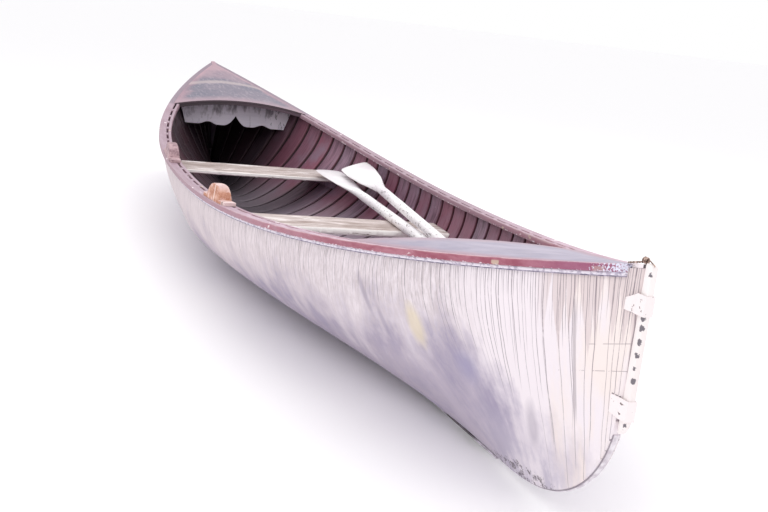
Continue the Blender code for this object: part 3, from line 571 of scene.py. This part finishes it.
# Upward faces are paler: a painted reflection of the sky.
sky_reflection_tops = add("Mix", {"Factor": spread, "A": "#cbb0c0", "B": "#b08c9c"}, data_type="RGBA")
facing_up = add(("MapRange", upward.outputs[2], 0.45, 0.85))
# Pale pink in patches along the upper corner: a painted highlight with wear.
corner = ("MapRange", ("ABSOLUTE", ("-", upward.outputs[2], 0.55)), 0.40, 0.20, 0.0, 0.8)
corner_highlight_and_wear = ("*", corner, ("MapRange", spots, 0.42, 0.55, 0.3, 1.0))
lilac = ("MapRange", ("+", x, ("*", spots, 1.4)), -0.60, 0.40, 0.0, 0.6)
by_deck = ("MapRange", ("+", x, ("*", spots, 0.04)), 1.545, 1.575, 0.0, 0.8)
ochre = ("MapRange", spots, 0.665, 0.685, 0.0, 0.85)
down = add(("-", rail_line(x), z))
ochre_patches = []
for place, reach in ((-2.330, 0.012), (-2.090, 0.009)):
    off = ("+", ("ABSOLUTE", ("-", x, place)), ("*", ("-", rub, 0.5), 0.03))
    patch = ("MapRange", off, reach, reach - 0.002, 0.0, 0.8)
    patch = ("*", patch, ("MapRange", down, 0.006, 0.009))
    ochre_patches.append((patch, "#c8b3a0"))
bared = ("MapRange", ("-", 1.0, spots), 0.655, 0.675, 0.0, 0.8)
fine = add("TexNoise", {"Vector": where, "Scale": 95.0, "Detail": 5.0, "Roughness": 0.65})
low_down = ("MapRange", down, 0.011, 0.017, -0.20, 0.05)
specks = ("MapRange", ("+", fine, low_down), 0.58, 0.62, 0.0, 0.85)
purple = ("MapRange", x, -2.13, -2.27, 0.0, 0.5)
purple = ("*", purple, ("-", 1.0, facing_up))
near_stern = add(("MapRange", x, -2.28, -2.372, -0.20, 0.08))
flakes = add("TexNoise", {"Vector": where, "Scale": 210.0, "Detail": 4.0, "Roughness": 0.6})
chips = ("MapRange", ("+", flakes, near_stern), 0.50, 0.56)
pits = ("MapRange", ("+", rub, ("*", near_stern, 0.7)), 0.58, 0.62, 0.0, 0.8)
relief = add("Bump", {"Strength": 0.4, "Distance": 0.001, "Height": rub})
lay_coats(add, sides, [(facing_up, sky_reflection_tops), (corner_highlight_and_wear, "#e3c6c9"), (lilac, "#957f8b"), (by_deck, "#8a7a88"),
                       (ochre, "#cdb9a4"), *ochre_patches, (bared, "#efe3e6"), (specks, "#f1e8f0"),
                       (purple, "#93527a"), (chips, "#dcdcee"), (pits, "#5b5272")],
          {"Roughness": 0.55, "Normal": relief, "Coat Weight": 0.1, "Coat Roughness": 0.4})

batten_sizes = {
    "Aft": -2.377, "Forward": 2.377, "Side": 1.0, "Width": 0.0157, "Height": 0.018, "Corner": 0.003,
    "Inboard": -0.0083, "Below": 0.009, "Lean": 0.0, "Pieces": 241, "Finish": None}
batten, add, size = new_tree("Bent batten", batten_sizes)
straight = add("MeshLine", {"Count": size["Pieces"], "Start Location": ("CombineXYZ", size["Aft"]),
                            "Offset": ("CombineXYZ", size["Forward"])}, mode="END_POINTS")
upright = add("SetCurveNormal", {"Curve": add("MeshToCurve", {0: straight})}, mode="Z_UP")
cut = add("CurvePrimitiveQuadrilateral", {"Width": size["Width"], "Height": size["Height"]})
cut = add("FilletCurve", {"Curve": cut, "Radius": size["Corner"], "Count": 2}, mode="POLY")
bar = add("CurveToMesh", {"Curve": upright, "Profile Curve": cut, "Fill Caps": True})
x, y, z = add(("SeparateXYZ", ("InputPosition",))).outputs
lowered = ("*", size["Lean"], ("-", size["Below"], z))
rule = add("Group", {"Along": x, "Drop": lowered}, node_tree=hull_lines)
out = ("-", rule.outputs["Side"], ("*", size["Inboard"], rule.outputs["Thin"]))
aside = ("+", ("*", size["Side"], out), ("*", y, rule.outputs["Thin"]))
height = ("+", rule.outputs["Sheer"], ("-", z, size["Below"]))
hand_out(add, bar, ("CombineXYZ", x, aside, height), size)

block_sizes = {"Count": 23, "Pitch": 0.128, "Length": 0.038, "Width": 0.0084, "Height": 0.018, "Side": 1.0,
               "Inboard": 0.0216, "Below": 0.0105, "Finish": None}
spacer_tree, add, size = new_tree("Spacer blocks", block_sizes)
line = point_row(add, size)
cube = add("MeshCube", {"Size": ("CombineXYZ", size["Length"], size["Width"], size["Height"]),
                        "Vertices X": 4, "Vertices Y": 2, "Vertices Z": 3})
blocks = add("InstanceOnPoints", {"Points": line, "Instance": cube})
blocks = add("RealizeInstances", {"Geometry": blocks})
x, y, z = add(("SeparateXYZ", ("InputPosition",))).outputs
rule = add("Group", {"Along": x, "Drop": ("-", size["Below"], z)}, node_tree=hull_lines)
out = ("*", size["Side"], ("-", rule.outputs["Side"], size["Inboard"]))
height = ("+", rule.outputs["Sheer"], ("-", z, size["Below"]))
hand_out(add, blocks, ("CombineXYZ", x, ("+", out, y), height), size)

filler_strip = mottled("canvas_edge_under_rail", ("#e6e1eb", "#bab1c3"), (0.50, 0.62), {"Roughness": 0.7},
                       ((0.6, 1.0, 1.0), 120.0, 4.0))
# The thin dark strip under the canvas edge is a painted shadow line.
painted_shadow_line = mottled("painted_shadow_under_canvas_edge", ("#6f6781", "#b3a9ba"), (0.44, 0.60), {"Roughness": 0.8},
                    ((1.0, 1.0, 1.0), 60.0, 4.0))

cap = {"Width": 0.0136, "Height": 0.0078, "Corner": 0.0015, "Inboard": 0.0033, "Below": 0.0044}
# Name, tree, finish and the sizes that differ from the tree's own
rail_pieces = (
    ("outer_rail", batten, red_paint, {"Forward": 2.420}),
    ("canvas_edge", batten, filler_strip,
     {"Width": 0.0085, "Height": 0.0075, "Corner": 0.002, "Inboard": -0.0043, "Below": 0.0218}),
    # A dark strip under the canvas edge: painted shadow.
    ("shadow_line_under_canvas_edge", batten, painted_shadow_line,
     {"Width": 0.0060, "Height": 0.0022, "Corner": 0.0007, "Inboard": -0.0030, "Below": 0.0268}),
    ("inner_rail", batten, red_paint,
     {"Aft": -1.537, "Forward": 1.537, "Width": 0.013, "Height": 0.0198, "Inboard": 0.0324, "Below": 0.010,
      "Lean": 1.0}),
    ("rail_spacers", spacer_tree, red_paint, {}),
    ("rail_cap_middle", batten, red_paint,
     {**cap, "Aft": -1.54, "Forward": 1.54, "Width": 0.0205, "Inboard": 0.0068}),
    ("rail_cap_aft", batten, red_paint, {**cap, "Aft": -2.376, "Forward": -1.5405}),
    ("rail_cap_forward", batten, red_paint, {**cap, "Aft": 1.5405, "Forward": 2.420}))
for side_name, side in (("port", 1.0), ("starboard", -1.0)):
    pieces = {name: grow(name + "_" + side_name, tree, {"Side": side, "Finish": finish, **own})
              for name, tree, finish, own in rail_pieces}
    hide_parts("outwale_" + side_name)
    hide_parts("inwale_" + side_name)


# Decks
# Canvas-covered end decks, crowned athwart, painted grey over the old red, dusty and rubbed at the edges.
# The forward one is higher crowned; a beige band crosses it. The after one ends in the white stem head.
deck_paint, add, where = new_material("grey_paint_on_decks")
x, y, z = add(("SeparateXYZ", where)).outputs
dust = add("TexNoise", {"Vector": where, "Scale": 7.0, "Detail": 6.0, "Roughness": 0.62})
fine = drawn_out(add, where, (0.3, 1.0, 1.0), 60.0, 5.0, 0.65)
across = add("Attribute", attribute_name="share").outputs["Fac"]
# The after deck is coloured paler and more lavender than the forward one: a painted sheen.
base = add("Mix", {"Factor": ("MapRange", x, -0.5, 0.5), "A": "#978fa5", "B": "#6c687a"}, data_type="RGBA")
dusty = ("MapRange", dust, 0.40, 0.66)
pale = add("Mix", {"Factor": ("MapRange", x, -0.5, 0.5), "A": "#b0a7ba", "B": "#857988"}, data_type="RGBA")
grit = ("MapRange", fine, 0.50, 0.68, 0.0, 0.5)
at_edge = ("+", ("ABSOLUTE", across), ("*", ("-", dust, 0.5), 0.5))
at_edge = ("MapRange", at_edge, 0.74, 0.95, 0.0, 0.7)
inboard = ("-", ("ABSOLUTE", x), ("*", dust, 0.10))
inboard = ("MapRange", inboard, 1.60, 1.52, 0.0, 0.7)
band = ("ABSOLUTE", ("-", ("+", x, ("*", dust, 0.08)), 2.01))
band = ("MapRange", band, 0.045, 0.012, 0.0, 0.6)
tip = ("MapRange", ("+", x, ("*", dust, 0.3)), 2.16, 2.42, 0.0, 0.75)
stem_head = ("MapRange", ("+", x, ("*", fine, 0.02)), -2.352, -2.366)
# Faces turned fore and aft, such as the decks' inboard edges, go near black: painted shade.
shaded_end_faces = add(("SeparateXYZ", add("NewGeometry").outputs["Normal"]))
shaded_end_faces = ("MapRange", ("ABSOLUTE", shaded_end_faces.outputs[0]), 0.6, 0.9, 0.0, 0.9)
relief = add("Bump", {"Strength": 0.4, "Distance": 0.001, "Height": fine})
lay_coats(add, base, [(dusty, pale), (grit, "#b1a5b0"), (at_edge, "#ab8492"), (inboard, "#ab8f9b"),
                      (band, "#c2b1b2"), (tip, "#bd99a4"), (stem_head, "#f2e7ea"), (shaded_end_faces, "#3a2c34")],
          {"Roughness": 0.5, "Normal": relief, "Specular IOR Level": 0.5})


deck_edge, bow_crown, stern_crown, deck_thick = 1.54, 0.040, 0.018, 0.0078


def deck_half(x):
    """Half breadth of a deck inside the rails."""
    return max(canvas_half(x) - 0.0105, 0.0118)


def deck_top(end, x, y):
    """Height of a deck, which arches up from the rails and less so where it is narrow."""
    crown = (bow_crown if end > 0 else stern_crown) * deck_half(x) / deck_half(deck_edge)
    return sheer_at(x) + crown * (1.0 - min(abs(y) / deck_half(x), 1.0) ** 2)


for end, name, first, last in ((1, "bow", 1.541, 2.4350), (-1, "stern", -1.541, -2.4120)):
    rows = []
    for step in range(61):
        x = first + (last - first) * step / 60
        half_width = deck_half(x)
        sideways = [part / 12 * half_width for part in range(-12, 13)]
        upper = [Vector((x, y, deck_top(end, x, y))) for y in sideways]
        under = [point - Vector((0.0, 0.0, deck_thick)) for point in reversed(upper)]
        rows.append(upper + under)
    deck = solid(name + "_deck", rows, deck_paint)
    across = deck.data.attributes.new("share", "FLOAT", "POINT")
    across.data.foreach_set("value", [point.co.y / deck_half(point.co.x) for point in deck.data.vertices])
    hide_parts("deck_" + name)
repaint(cedar, "deck_beam_bow", "deck_beam_stern")


# Scalloped board
# A pine board under the forward deck, its lower edge sawn in scallops that meet in a pointed notch.
# Unpainted, weathered grey, darker and mottled at the top with painted shadow of the deck, and pale chipped
# paint at the starboard end.
grey_pine, add, where = new_material("weathered_grey_pine")
x, y, z = add(("SeparateXYZ", where)).outputs
grain = drawn_out(add, where, (1.0, 0.10, 1.0), 60.0, 5.0, 0.65)
marks = drawn_out(add, where, (1.0, 2.2, 0.8), 13.0, 5.0, 0.62)
# Darker and mottled towards the top: painted shadow of the deck above.
high_up = ("MapRange", z, 0.40, 0.50, -0.10, 0.10)
mottled_deck_shadow = ("MapRange", ("+", marks, high_up), 0.50, 0.66, 0.0, 0.75)
aside = add(("MapRange", y, -0.155, -0.20))
chips = ("MapRange", marks, 0.56, 0.52, 0.0, 0.9)
rents = ("MapRange", ("ABSOLUTE", ("-", marks, 0.56)), 0.012, 0.004, 0.0, 0.85)
relief = add("Bump", {"Strength": 0.5, "Distance": 0.001, "Height": grain})
lay_coats(add, "#c9c3d2", [(grain, "#eae4f0"), (mottled_deck_shadow, "#5d5662"), (("*", aside, chips), "#e6dfeb"),
                           (("*", aside, rents), "#302b35")], {"Roughness": 0.8, "Normal": relief})


board_aft, board_place, board_forward, board_low, bevel = 1.6504, 1.66, 1.6618, 0.381, 0.0015
notch_height, lobe_place, wave_height, wave_place, wave_half = 0.055, 0.064, 0.0150, 0.145, 0.055


def scallop(y):
    """Lower edge of the board: a pointed notch in the middle, then a lobe, a wave and a flat."""
    away = abs(y)
    if away < lobe_place:
        return board_low + notch_height * (1.0 - away / lobe_place) ** 2
    if abs(away - wave_place) < wave_half:
        return board_low + wave_height / 2 * (1.0 + math.cos(math.pi * (away - wave_place) / wave_half))
    return board_low


rows = []
for step in range(161):
    share = step / 80.0 - 1.0
    low_y = share * (hull_side(board_place, board_low) - to_rib_face)
    high_y = share * (hull_side(board_place, sheer_at(board_place) - 0.012) - to_rib_face)
    low_z, high_z = scallop(low_y), deck_top(1, 1.656, high_y) - 0.0095
    rows.append([Vector((board_aft, low_y, low_z + bevel)), Vector((1.652, low_y, low_z)),
                 Vector((1.6605, low_y, low_z)), Vector((board_forward, low_y, low_z + bevel)),
                 Vector((board_forward, high_y, high_z)), Vector((board_aft, high_y, high_z))])
board = solid("scallop_board", rows, grey_pine)
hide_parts("scalloped_board")


# Thwarts
# Two plank seats of spruce, once painted, now bare: grey-brown on top with open grain, bleached and
# frayed along the after edge. Their ends are cut to the ribs, and they rest on cleats nailed there.
bare_spruce, add, where = new_material("weathered_bare_spruce")
facing = add(("SeparateXYZ", add("NewGeometry").outputs["Normal"]))
grain = drawn_out(add, where, (1.0, 0.05, 1.0), 80.0, 5.0, 0.65)
marks = drawn_out(add, where, (1.0, 0.5, 1.0), 10.0, 5.0, 0.6)
open_grain = ("MapRange", grain, 0.40, 0.62)
stained = ("MapRange", marks, 0.48, 0.66, 0.0, 0.7)
old_paint = ("MapRange", ("-", marks, ("*", grain, 0.3)), 0.28, 0.22, 0.0, 0.8)
side_on = ("MapRange", facing.outputs[0], -0.3, -0.7, 0.0, 0.95)
splits = ("MapRange", grain, 0.38, 0.31, 0.0, 0.9)
relief = add("Bump", {"Strength": 0.6, "Distance": 0.0015, "Height": grain})
lay_coats(add, "#9d8a84", [(open_grain, "#e6dad9"), (stained, "#938078"), (old_paint, "#ece4e3"),
                           (side_on, "#fffbf8"), (splits, "#7d6a60")], {"Roughness": 0.78, "Normal": relief})

chance = np.random.default_rng(11)
for name, plank_name in (("thwart_forward", "forward_seat"), ("thwart_aft", "aft_seat")):
    low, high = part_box(name)
    fray = np.convolve(chance.normal(size=240), np.ones(5) / 5, mode="same")
    rows = []
    for step in range(201):
        bite = 0.0012 * max(0.0, 1.0 + 2.0 * float(fray[step + 5]))
        ring = []
        for x_share, z_share in ((0.0, 0.25), (0.0, 0.75), (0.02, 0.96), (0.06, 1.0), (0.5, 1.0), (0.94, 1.0),
                                 (0.99, 0.93), (1.0, 0.7), (1.0, 0.25), (0.97, 0.0), (0.5, 0.0), (0.03, 0.0)):
            x = low[0] + (high[0] - low[0]) * x_share + (bite if x_share < 0.03 else 0.0)
            z = low[2] + (high[2] - low[2]) * z_share
            ring.append(Vector((x, (step / 100 - 1.0) * (hull_side(x, z) - to_rib_face), z)))
        rows.append(ring)
    plank = solid(plank_name, rows, bare_spruce)
    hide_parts(name)
repaint(cedar, "cleat_forward_port", "cleat_forward_starboard", "cleat_aft_port", "cleat_aft_starboard")


# Oar blocks
# Blocks shaped from one piece of pine, with a hump that carried the rowlock plate, screwed to the rails.
# The after one has lost its paint and shows orange wood, the forward one still has pale pink paint.
orange_pine, add, where = new_material("bare_orange_pine")
x, y, z = add(("SeparateXYZ", where)).outputs
facing = add(("SeparateXYZ", add("NewGeometry").outputs["Normal"]))
grain = drawn_out(add, where, (0.15, 1.0, 1.0), 90.0, 5.0, 0.6)
marks = add("TexNoise", {"Vector": where, "Scale": 38.0, "Detail": 5.0, "Roughness": 0.62})
open_grain = ("MapRange", grain, 0.38, 0.64)
pale = ("MapRange", marks, 0.52, 0.62, 0.0, 0.75)
# Upward faces of the after block are paler: a painted highlight.
sky_highlight_on_top = ("MapRange", facing.outputs[2], 0.55, 0.95, 0.0, 0.6)
off = ("ABSOLUTE", ("-", ("+", x, ("*", marks, 0.008)), -0.611))
groove = ("MapRange", off, 0.0048, 0.0030, 0.0, 0.85)
foot_plate = ("MapRange", ("+", x, ("*", marks, 0.03)), -0.690, -0.698, 0.0, 0.8)
dents = ("MapRange", marks, 0.36, 0.31, 0.0, 0.8)
relief = add("Bump", {"Strength": 0.5, "Distance": 0.001, "Height": grain})
lay_coats(add, "#b0755d", [(open_grain, "#d09f8a"), (pale, "#e6c6c0"), (sky_highlight_on_top, "#d9c4c6"),
                           (groove, "#f0dcd6"), (foot_plate, "#e3cfd0"), (dents, "#6f4a3c")],
          {"Roughness": 0.75, "Normal": relief})

pale_pine = mottled("pale_paint_on_pine", ("#b89a9f", "#886a72"), (0.46, 0.60), {"Roughness": 0.65},
                    ((1.0, 1.0, 1.0), 34.0, 5.0, 0.62))

base_height, hump_height, hump_half, block_half, foot_half = 0.0115, 0.0460, 0.0715, 0.1346, 0.0228
for name, piece_name, finish, middle in (("oar_block_forward", "forward_oar_block", pale_pine, 0.370),
                                         ("oar_block_aft", "aft_oar_block", orange_pine, -0.603)):
    rows = []
    for along in np.linspace(-block_half, block_half, 91):
        height = base_height + hump_height * (1.0 - min(abs(along) / hump_half, 1.0) ** 3.4) ** 0.6
        half_foot = foot_half * (1.0 - 0.20 * max(0.0, (abs(along) - 0.112) / 0.0226) ** 2)
        half_top = half_foot - 0.10 * (height - base_height)
        x = middle + along
        y = canvas_half(x) - 0.0107
        foot, high = sheer_at(x) + 0.0004, sheer_at(x) + height
        ring = [Vector((x, y - half_foot, foot)), Vector((x, y + half_foot, foot))]
        for turn in np.linspace(0.0, math.pi, 11):
            ring.append(Vector((x, y + half_top * math.copysign(abs(math.cos(turn)) ** 0.35, math.cos(turn)),
                                foot + (high - foot) * (0.80 + 0.20 * math.sin(turn) ** 0.4))))
        rows.append(ring)
    block = solid(piece_name, rows, finish, sharp=50.0)
    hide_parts(name)


# Oars
# Two spruce oars with straight, square-tipped blades, painted white; the paint is worn off the shafts in
# dark specks. One lies on the after seat, the other over its shaft with the blade against the ribs.
oar_paint, add, where = new_material("white_paint_on_oars")
x, y, z = add(("SeparateXYZ", where)).outputs
worn = drawn_out(add, where, (0.35, 1.0, 1.0), 110.0, 5.0, 0.7)
faint = drawn_out(add, where, (0.4, 1.0, 1.0), 9.0, 5.0)
greyed = ("MapRange", faint, 0.44, 0.66)
handled = ("MapRange", x, 0.55, 0.05, 0.0, 1.0)
specks = ("*", ("MapRange", worn, 0.57, 0.62, 0.0, 0.8), handled)
lay_coats(add, "#fffdfe", [(greyed, "#ece5ea"), (specks, "#75666b")], {"Roughness": 0.5, "Coat Weight": 0.1})

oar_length, oar_sides = 1.98, 24
# Place from the grip, half width and half thickness
oar_shape = ((0.000, 0.010, 0.010), (0.010, 0.016, 0.016), (0.060, 0.0169, 0.0169),
             (0.110, 0.0168, 0.0168), (0.130, 0.0198, 0.0198), (0.700, 0.0198, 0.0198),
             (1.300, 0.0198, 0.0198), (1.400, 0.0198, 0.0168), (1.500, 0.0338, 0.0128),
             (1.620, 0.0518, 0.0098), (1.800, 0.0658, 0.0078), (1.900, 0.0668, 0.0058),
             (1.962, 0.0648, 0.0048), (1.980, 0.0568, 0.0038))
for name, body, aft_point, forward_point, tip_x, roll in (
        ("oar_in", "oar_inboard", Vector((-0.250, -0.2987, 0.2703)), Vector((1.000, -0.3378, 0.2803)),
         0.983, 0.0),
        ("oar_out", "oar_outboard", Vector((-0.4910, -0.3013, 0.3109)), Vector((0.8581, -0.4177, 0.3364)),
         0.8348, -math.radians(21.0))):
    axis = (forward_point - aft_point).normalized()
    tip = aft_point + axis * ((tip_x - aft_point.x) / axis.x)
    sideways = Vector((0.0, 0.0, 1.0)).cross(axis).normalized()
    turn = Matrix((axis, sideways, axis.cross(sideways))).transposed() @ Matrix.Rotation(roll, 3, "X")
    places = [entry[0] for entry in oar_shape]
    stops = np.concatenate([places, np.linspace(0.14, 1.96, 70)])
    rows = []
    for along in sorted(set(np.round(stops, 5))):
        wide = float(np.interp(along, places, [entry[1] for entry in oar_shape]))
        thick = float(np.interp(along, places, [entry[2] for entry in oar_shape]))
        angles = [math.tau * step / oar_sides for step in range(oar_sides)]
        back = along - oar_length
        rows.append([tip + turn @ Vector((back, wide * math.cos(angle), thick * math.sin(angle)))
                     for angle in angles])
    made = solid(name, rows, oar_paint, body=body)
    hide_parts(body)


# Stern post and straps
# A square post bolted aft of the stern, painted with the hull, its foot rounded off.
# Two iron straps bent round it are nailed to the sides; the paint has cracked along their edges.
post_paint, add, where = new_material("white_paint_on_post")
fine = add("TexNoise", {"Vector": where, "Scale": 150.0, "Detail": 4.0})
faded = drawn_out(add, where, (1.0, 1.0, 0.4), 14.0, 4.0)
bolt_marks = []
for height, across in ((0.637, 0.0050), (0.547, 0.0060), (0.527, 0.0075), (0.498, 0.0075), (0.470, 0.0065),
                       (0.442, 0.0045), (0.415, 0.0070), (0.318, 0.0060), (0.306, 0.0045)):
    off = add(("VectorMath", where, (-2.436, 0.008, height)), operation="SUBTRACT")
    off = add(("VectorMath", off), operation="LENGTH").outputs["Value"]
    ragged = ("+", off, ("*", ("-", fine, 0.5), 0.016))
    spot = ("MapRange", ragged, across, across - 0.0012, 0.0, 0.9)
    bolt_marks.append((spot, "#56505c"))
lay_coats(add, "#fbf5f4", [(faded, "#e8dcdc"), *bolt_marks], {"Roughness": 0.6})
low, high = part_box("stern_post")
rows = []
foot_share, foot_cut, edge_round = 0.10, 0.018, 0.003
for share in (0.0, 0.01, 0.03, 0.06, 0.10, 0.2, 0.4, 0.6, 0.8, 0.95, 0.985, 1.0):
    z = low[2] + (high[2] - low[2]) * share
    cut = foot_cut * max(0.0, 1.0 - share / foot_share) ** 2 + (edge_round if share == 1.0 else 0.0)
    narrower = edge_round if share in (0.0, 1.0) else 0.0
    ring = rounded(high[0] - low[0] - cut, high[1] - low[1] - narrower, edge_round)
    middle = (low[0] + high[0]) / 2 + cut / 2
    rows.append([Vector((middle + x, y, z)) for x, y in ring])
post = solid("square_stern_post", rows, post_paint)
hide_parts("stern_post")

strap_paint = mottled("paint_on_iron_straps", ("#f3e9ea", "#6a5a5c"), (0.66, 0.70), {"Roughness": 0.55},
                      ((1.0, 1.0, 1.0), 90.0, 4.0))
crack_dirt = mottled("dirt_in_paint_cracks", ("#6b5f68", "#efe4e6"), (0.46, 0.52), {"Roughness": 0.7},
                     ((1.0, 1.0, 1.0), 170.0, 3.0))
for name, at_post, at_end, length in (("strap_upper", (0.551, 0.594), (0.552, 0.577), 0.030),
                                      ("strap_lower", (0.328, 0.372), (0.331, 0.370), 0.030)):
    repaint(strap_paint, name)
    for side_name, side in (("port", 1.0), ("starboard", -1.0)):
        rows = []
        for share in (0.12, 0.3, 0.5, 0.7, 0.85, 1.0, 1.03):
            x = -hull_sizes["Stern end"] + length * share
            low = at_post[0] + (at_end[0] - at_post[0]) * share - 0.0018
            high = at_post[1] + (at_end[1] - at_post[1]) * share + 0.0018
            rows.append([Vector((x, side * (hull_side(x, z) + out), z))
                         for z, out in ((low, 0.0001), (high, 0.0001), (high, 0.0007), (low, 0.0007))])
        solid("crack_round_" + name + "_" + side_name, rows, crack_dirt)


# Stern eye
# What is left of a lashing on the after deck: rusty wire wound in a small coil, one end twisted to the
# port rail's tip and the other bent down behind the post. Both ends are stapled.
rusty = mottled("rusty_iron_wire", ("#6b5248", "#c9b0a4"), (0.42, 0.62), {"Roughness": 0.7, "Metallic": 0.3},
                ((1.0, 1.0, 1.0), 160.0, 4.0))


def wire(name, points, radius):
    """A round wire through points."""
    rows = []
    for here, point in enumerate(points):
        along = (points[min(here + 1, len(points) - 1)] - points[max(here - 1, 0)]).normalized()
        aside = along.cross(Vector((0.31, 0.83, 0.46))).normalized()
        lift = along.cross(aside)
        rows.append([point + radius * (math.cos(turn) * aside + math.sin(turn) * lift)
                     for turn in (math.tau * part / 8 for part in range(8))])
    return solid(name, rows, rusty)


knot = Vector((-2.400, 0.0, deck_top(-1, -2.400, 0.0) + 0.0080))
coil_half, coil_radius, turn_steps = 0.0058, 0.0056, 17
coil = [knot + Vector((coil_half * (step / 34 - 1.0), coil_radius * math.sin(math.tau * step / turn_steps),
                       coil_radius * math.cos(math.tau * step / turn_steps))) for step in range(69)]
eye = wire("wound_wire", coil, 0.0018)
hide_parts("stern_eye")
rail_tip = Vector((-2.374, 0.024, sheer_at(-2.374) + 0.0030))
for strand in (0, 1):
    lay = []
    for step in range(41):
        share = step / 40
        turn = math.tau * 3 * share + math.pi * strand
        spot = knot.lerp(rail_tip, share) - Vector((0.0, 0.0, 0.003 * (1.0 - share)))
        lay.append(spot + 0.0013 * Vector((math.sin(turn), 0.0, math.cos(turn))))
    wire("lashing_to_rail_" + str(strand), lay, 0.0012)
wire("lashing_to_post", [knot + Vector((-0.005, 0.0, -0.003)), Vector((-2.416, 0.001, 0.6620)),
                         Vector((-2.428, 0.002, 0.6590)), Vector((-2.4385, 0.003, 0.6570)),
                         Vector((-2.4385, 0.003, 0.6545))], 0.0014)


# Studio
# A plain pale floor and soft daylight from above.
floor_mesh = bpy.data.meshes.new("studio_floor")
floor_mesh.from_pydata([(-90, -90, 0), (90, -90, 0), (90, 90, 0), (-90, 90, 0)], [], [(0, 1, 2, 3)])
floor = new_object("studio_floor", floor_mesh)
pale, add, where = new_material("pale_studio_floor")
lay_coats(add, "#fdfcfe", [], {"Roughness": 0.95, "Specular IOR Level": 0.1})
floor_mesh.materials.append(pale)
floor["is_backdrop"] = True

world = bpy.data.worlds.new("soft_sky")
world.use_nodes = True
world.node_tree.nodes["Background"].inputs["Color"].default_value = linear("#ffffff")
world.node_tree.nodes["Background"].inputs["Strength"].default_value = 1.0
bpy.context.scene.world = world
for label, place, target, watts, across in (("key_light", (-4.5, 3.5, 4.5), (-0.5, 0.2, 0.3), 45.0, 3.0),
                                            ("fill_light", (2.0, -5.0, 4.0), (0.0, 0.0, 0.3), 40.0, 4.0),
                                            ("top_light", (0.0, 0.0, 4.5), (0.0, 0.0, 0.0), 60.0, 4.0)):
    lamp = bpy.data.lights.new(label, "AREA")
    lamp.energy = watts
    lamp.size = across
    made = new_object(label, lamp)
    made.location = place
    made.rotation_euler = (Vector(target) - Vector(place)).to_track_quat("-Z", "Y").to_euler()

lens = bpy.data.cameras.new("photo_camera")
lens.lens = 53.6
lens.sensor_width = 36.0
lens.sensor_fit = "HORIZONTAL"
camera = new_object("photo_camera", lens)
right, up, forward = (Vector((-0.31694, -0.94094, 0.11907)), Vector((0.23872, 0.04236, 0.97016)),
                      Vector((0.91791, -0.33590, -0.21120)))
turned = Matrix((right, up, -forward)).transposed().to_4x4()
camera.matrix_world = Matrix.Translation((-4.3372, 1.2660, 1.0895)) @ turned
bpy.context.scene.camera = camera
bpy.context.scene.view_settings.view_transform = "Standard"

low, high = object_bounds()
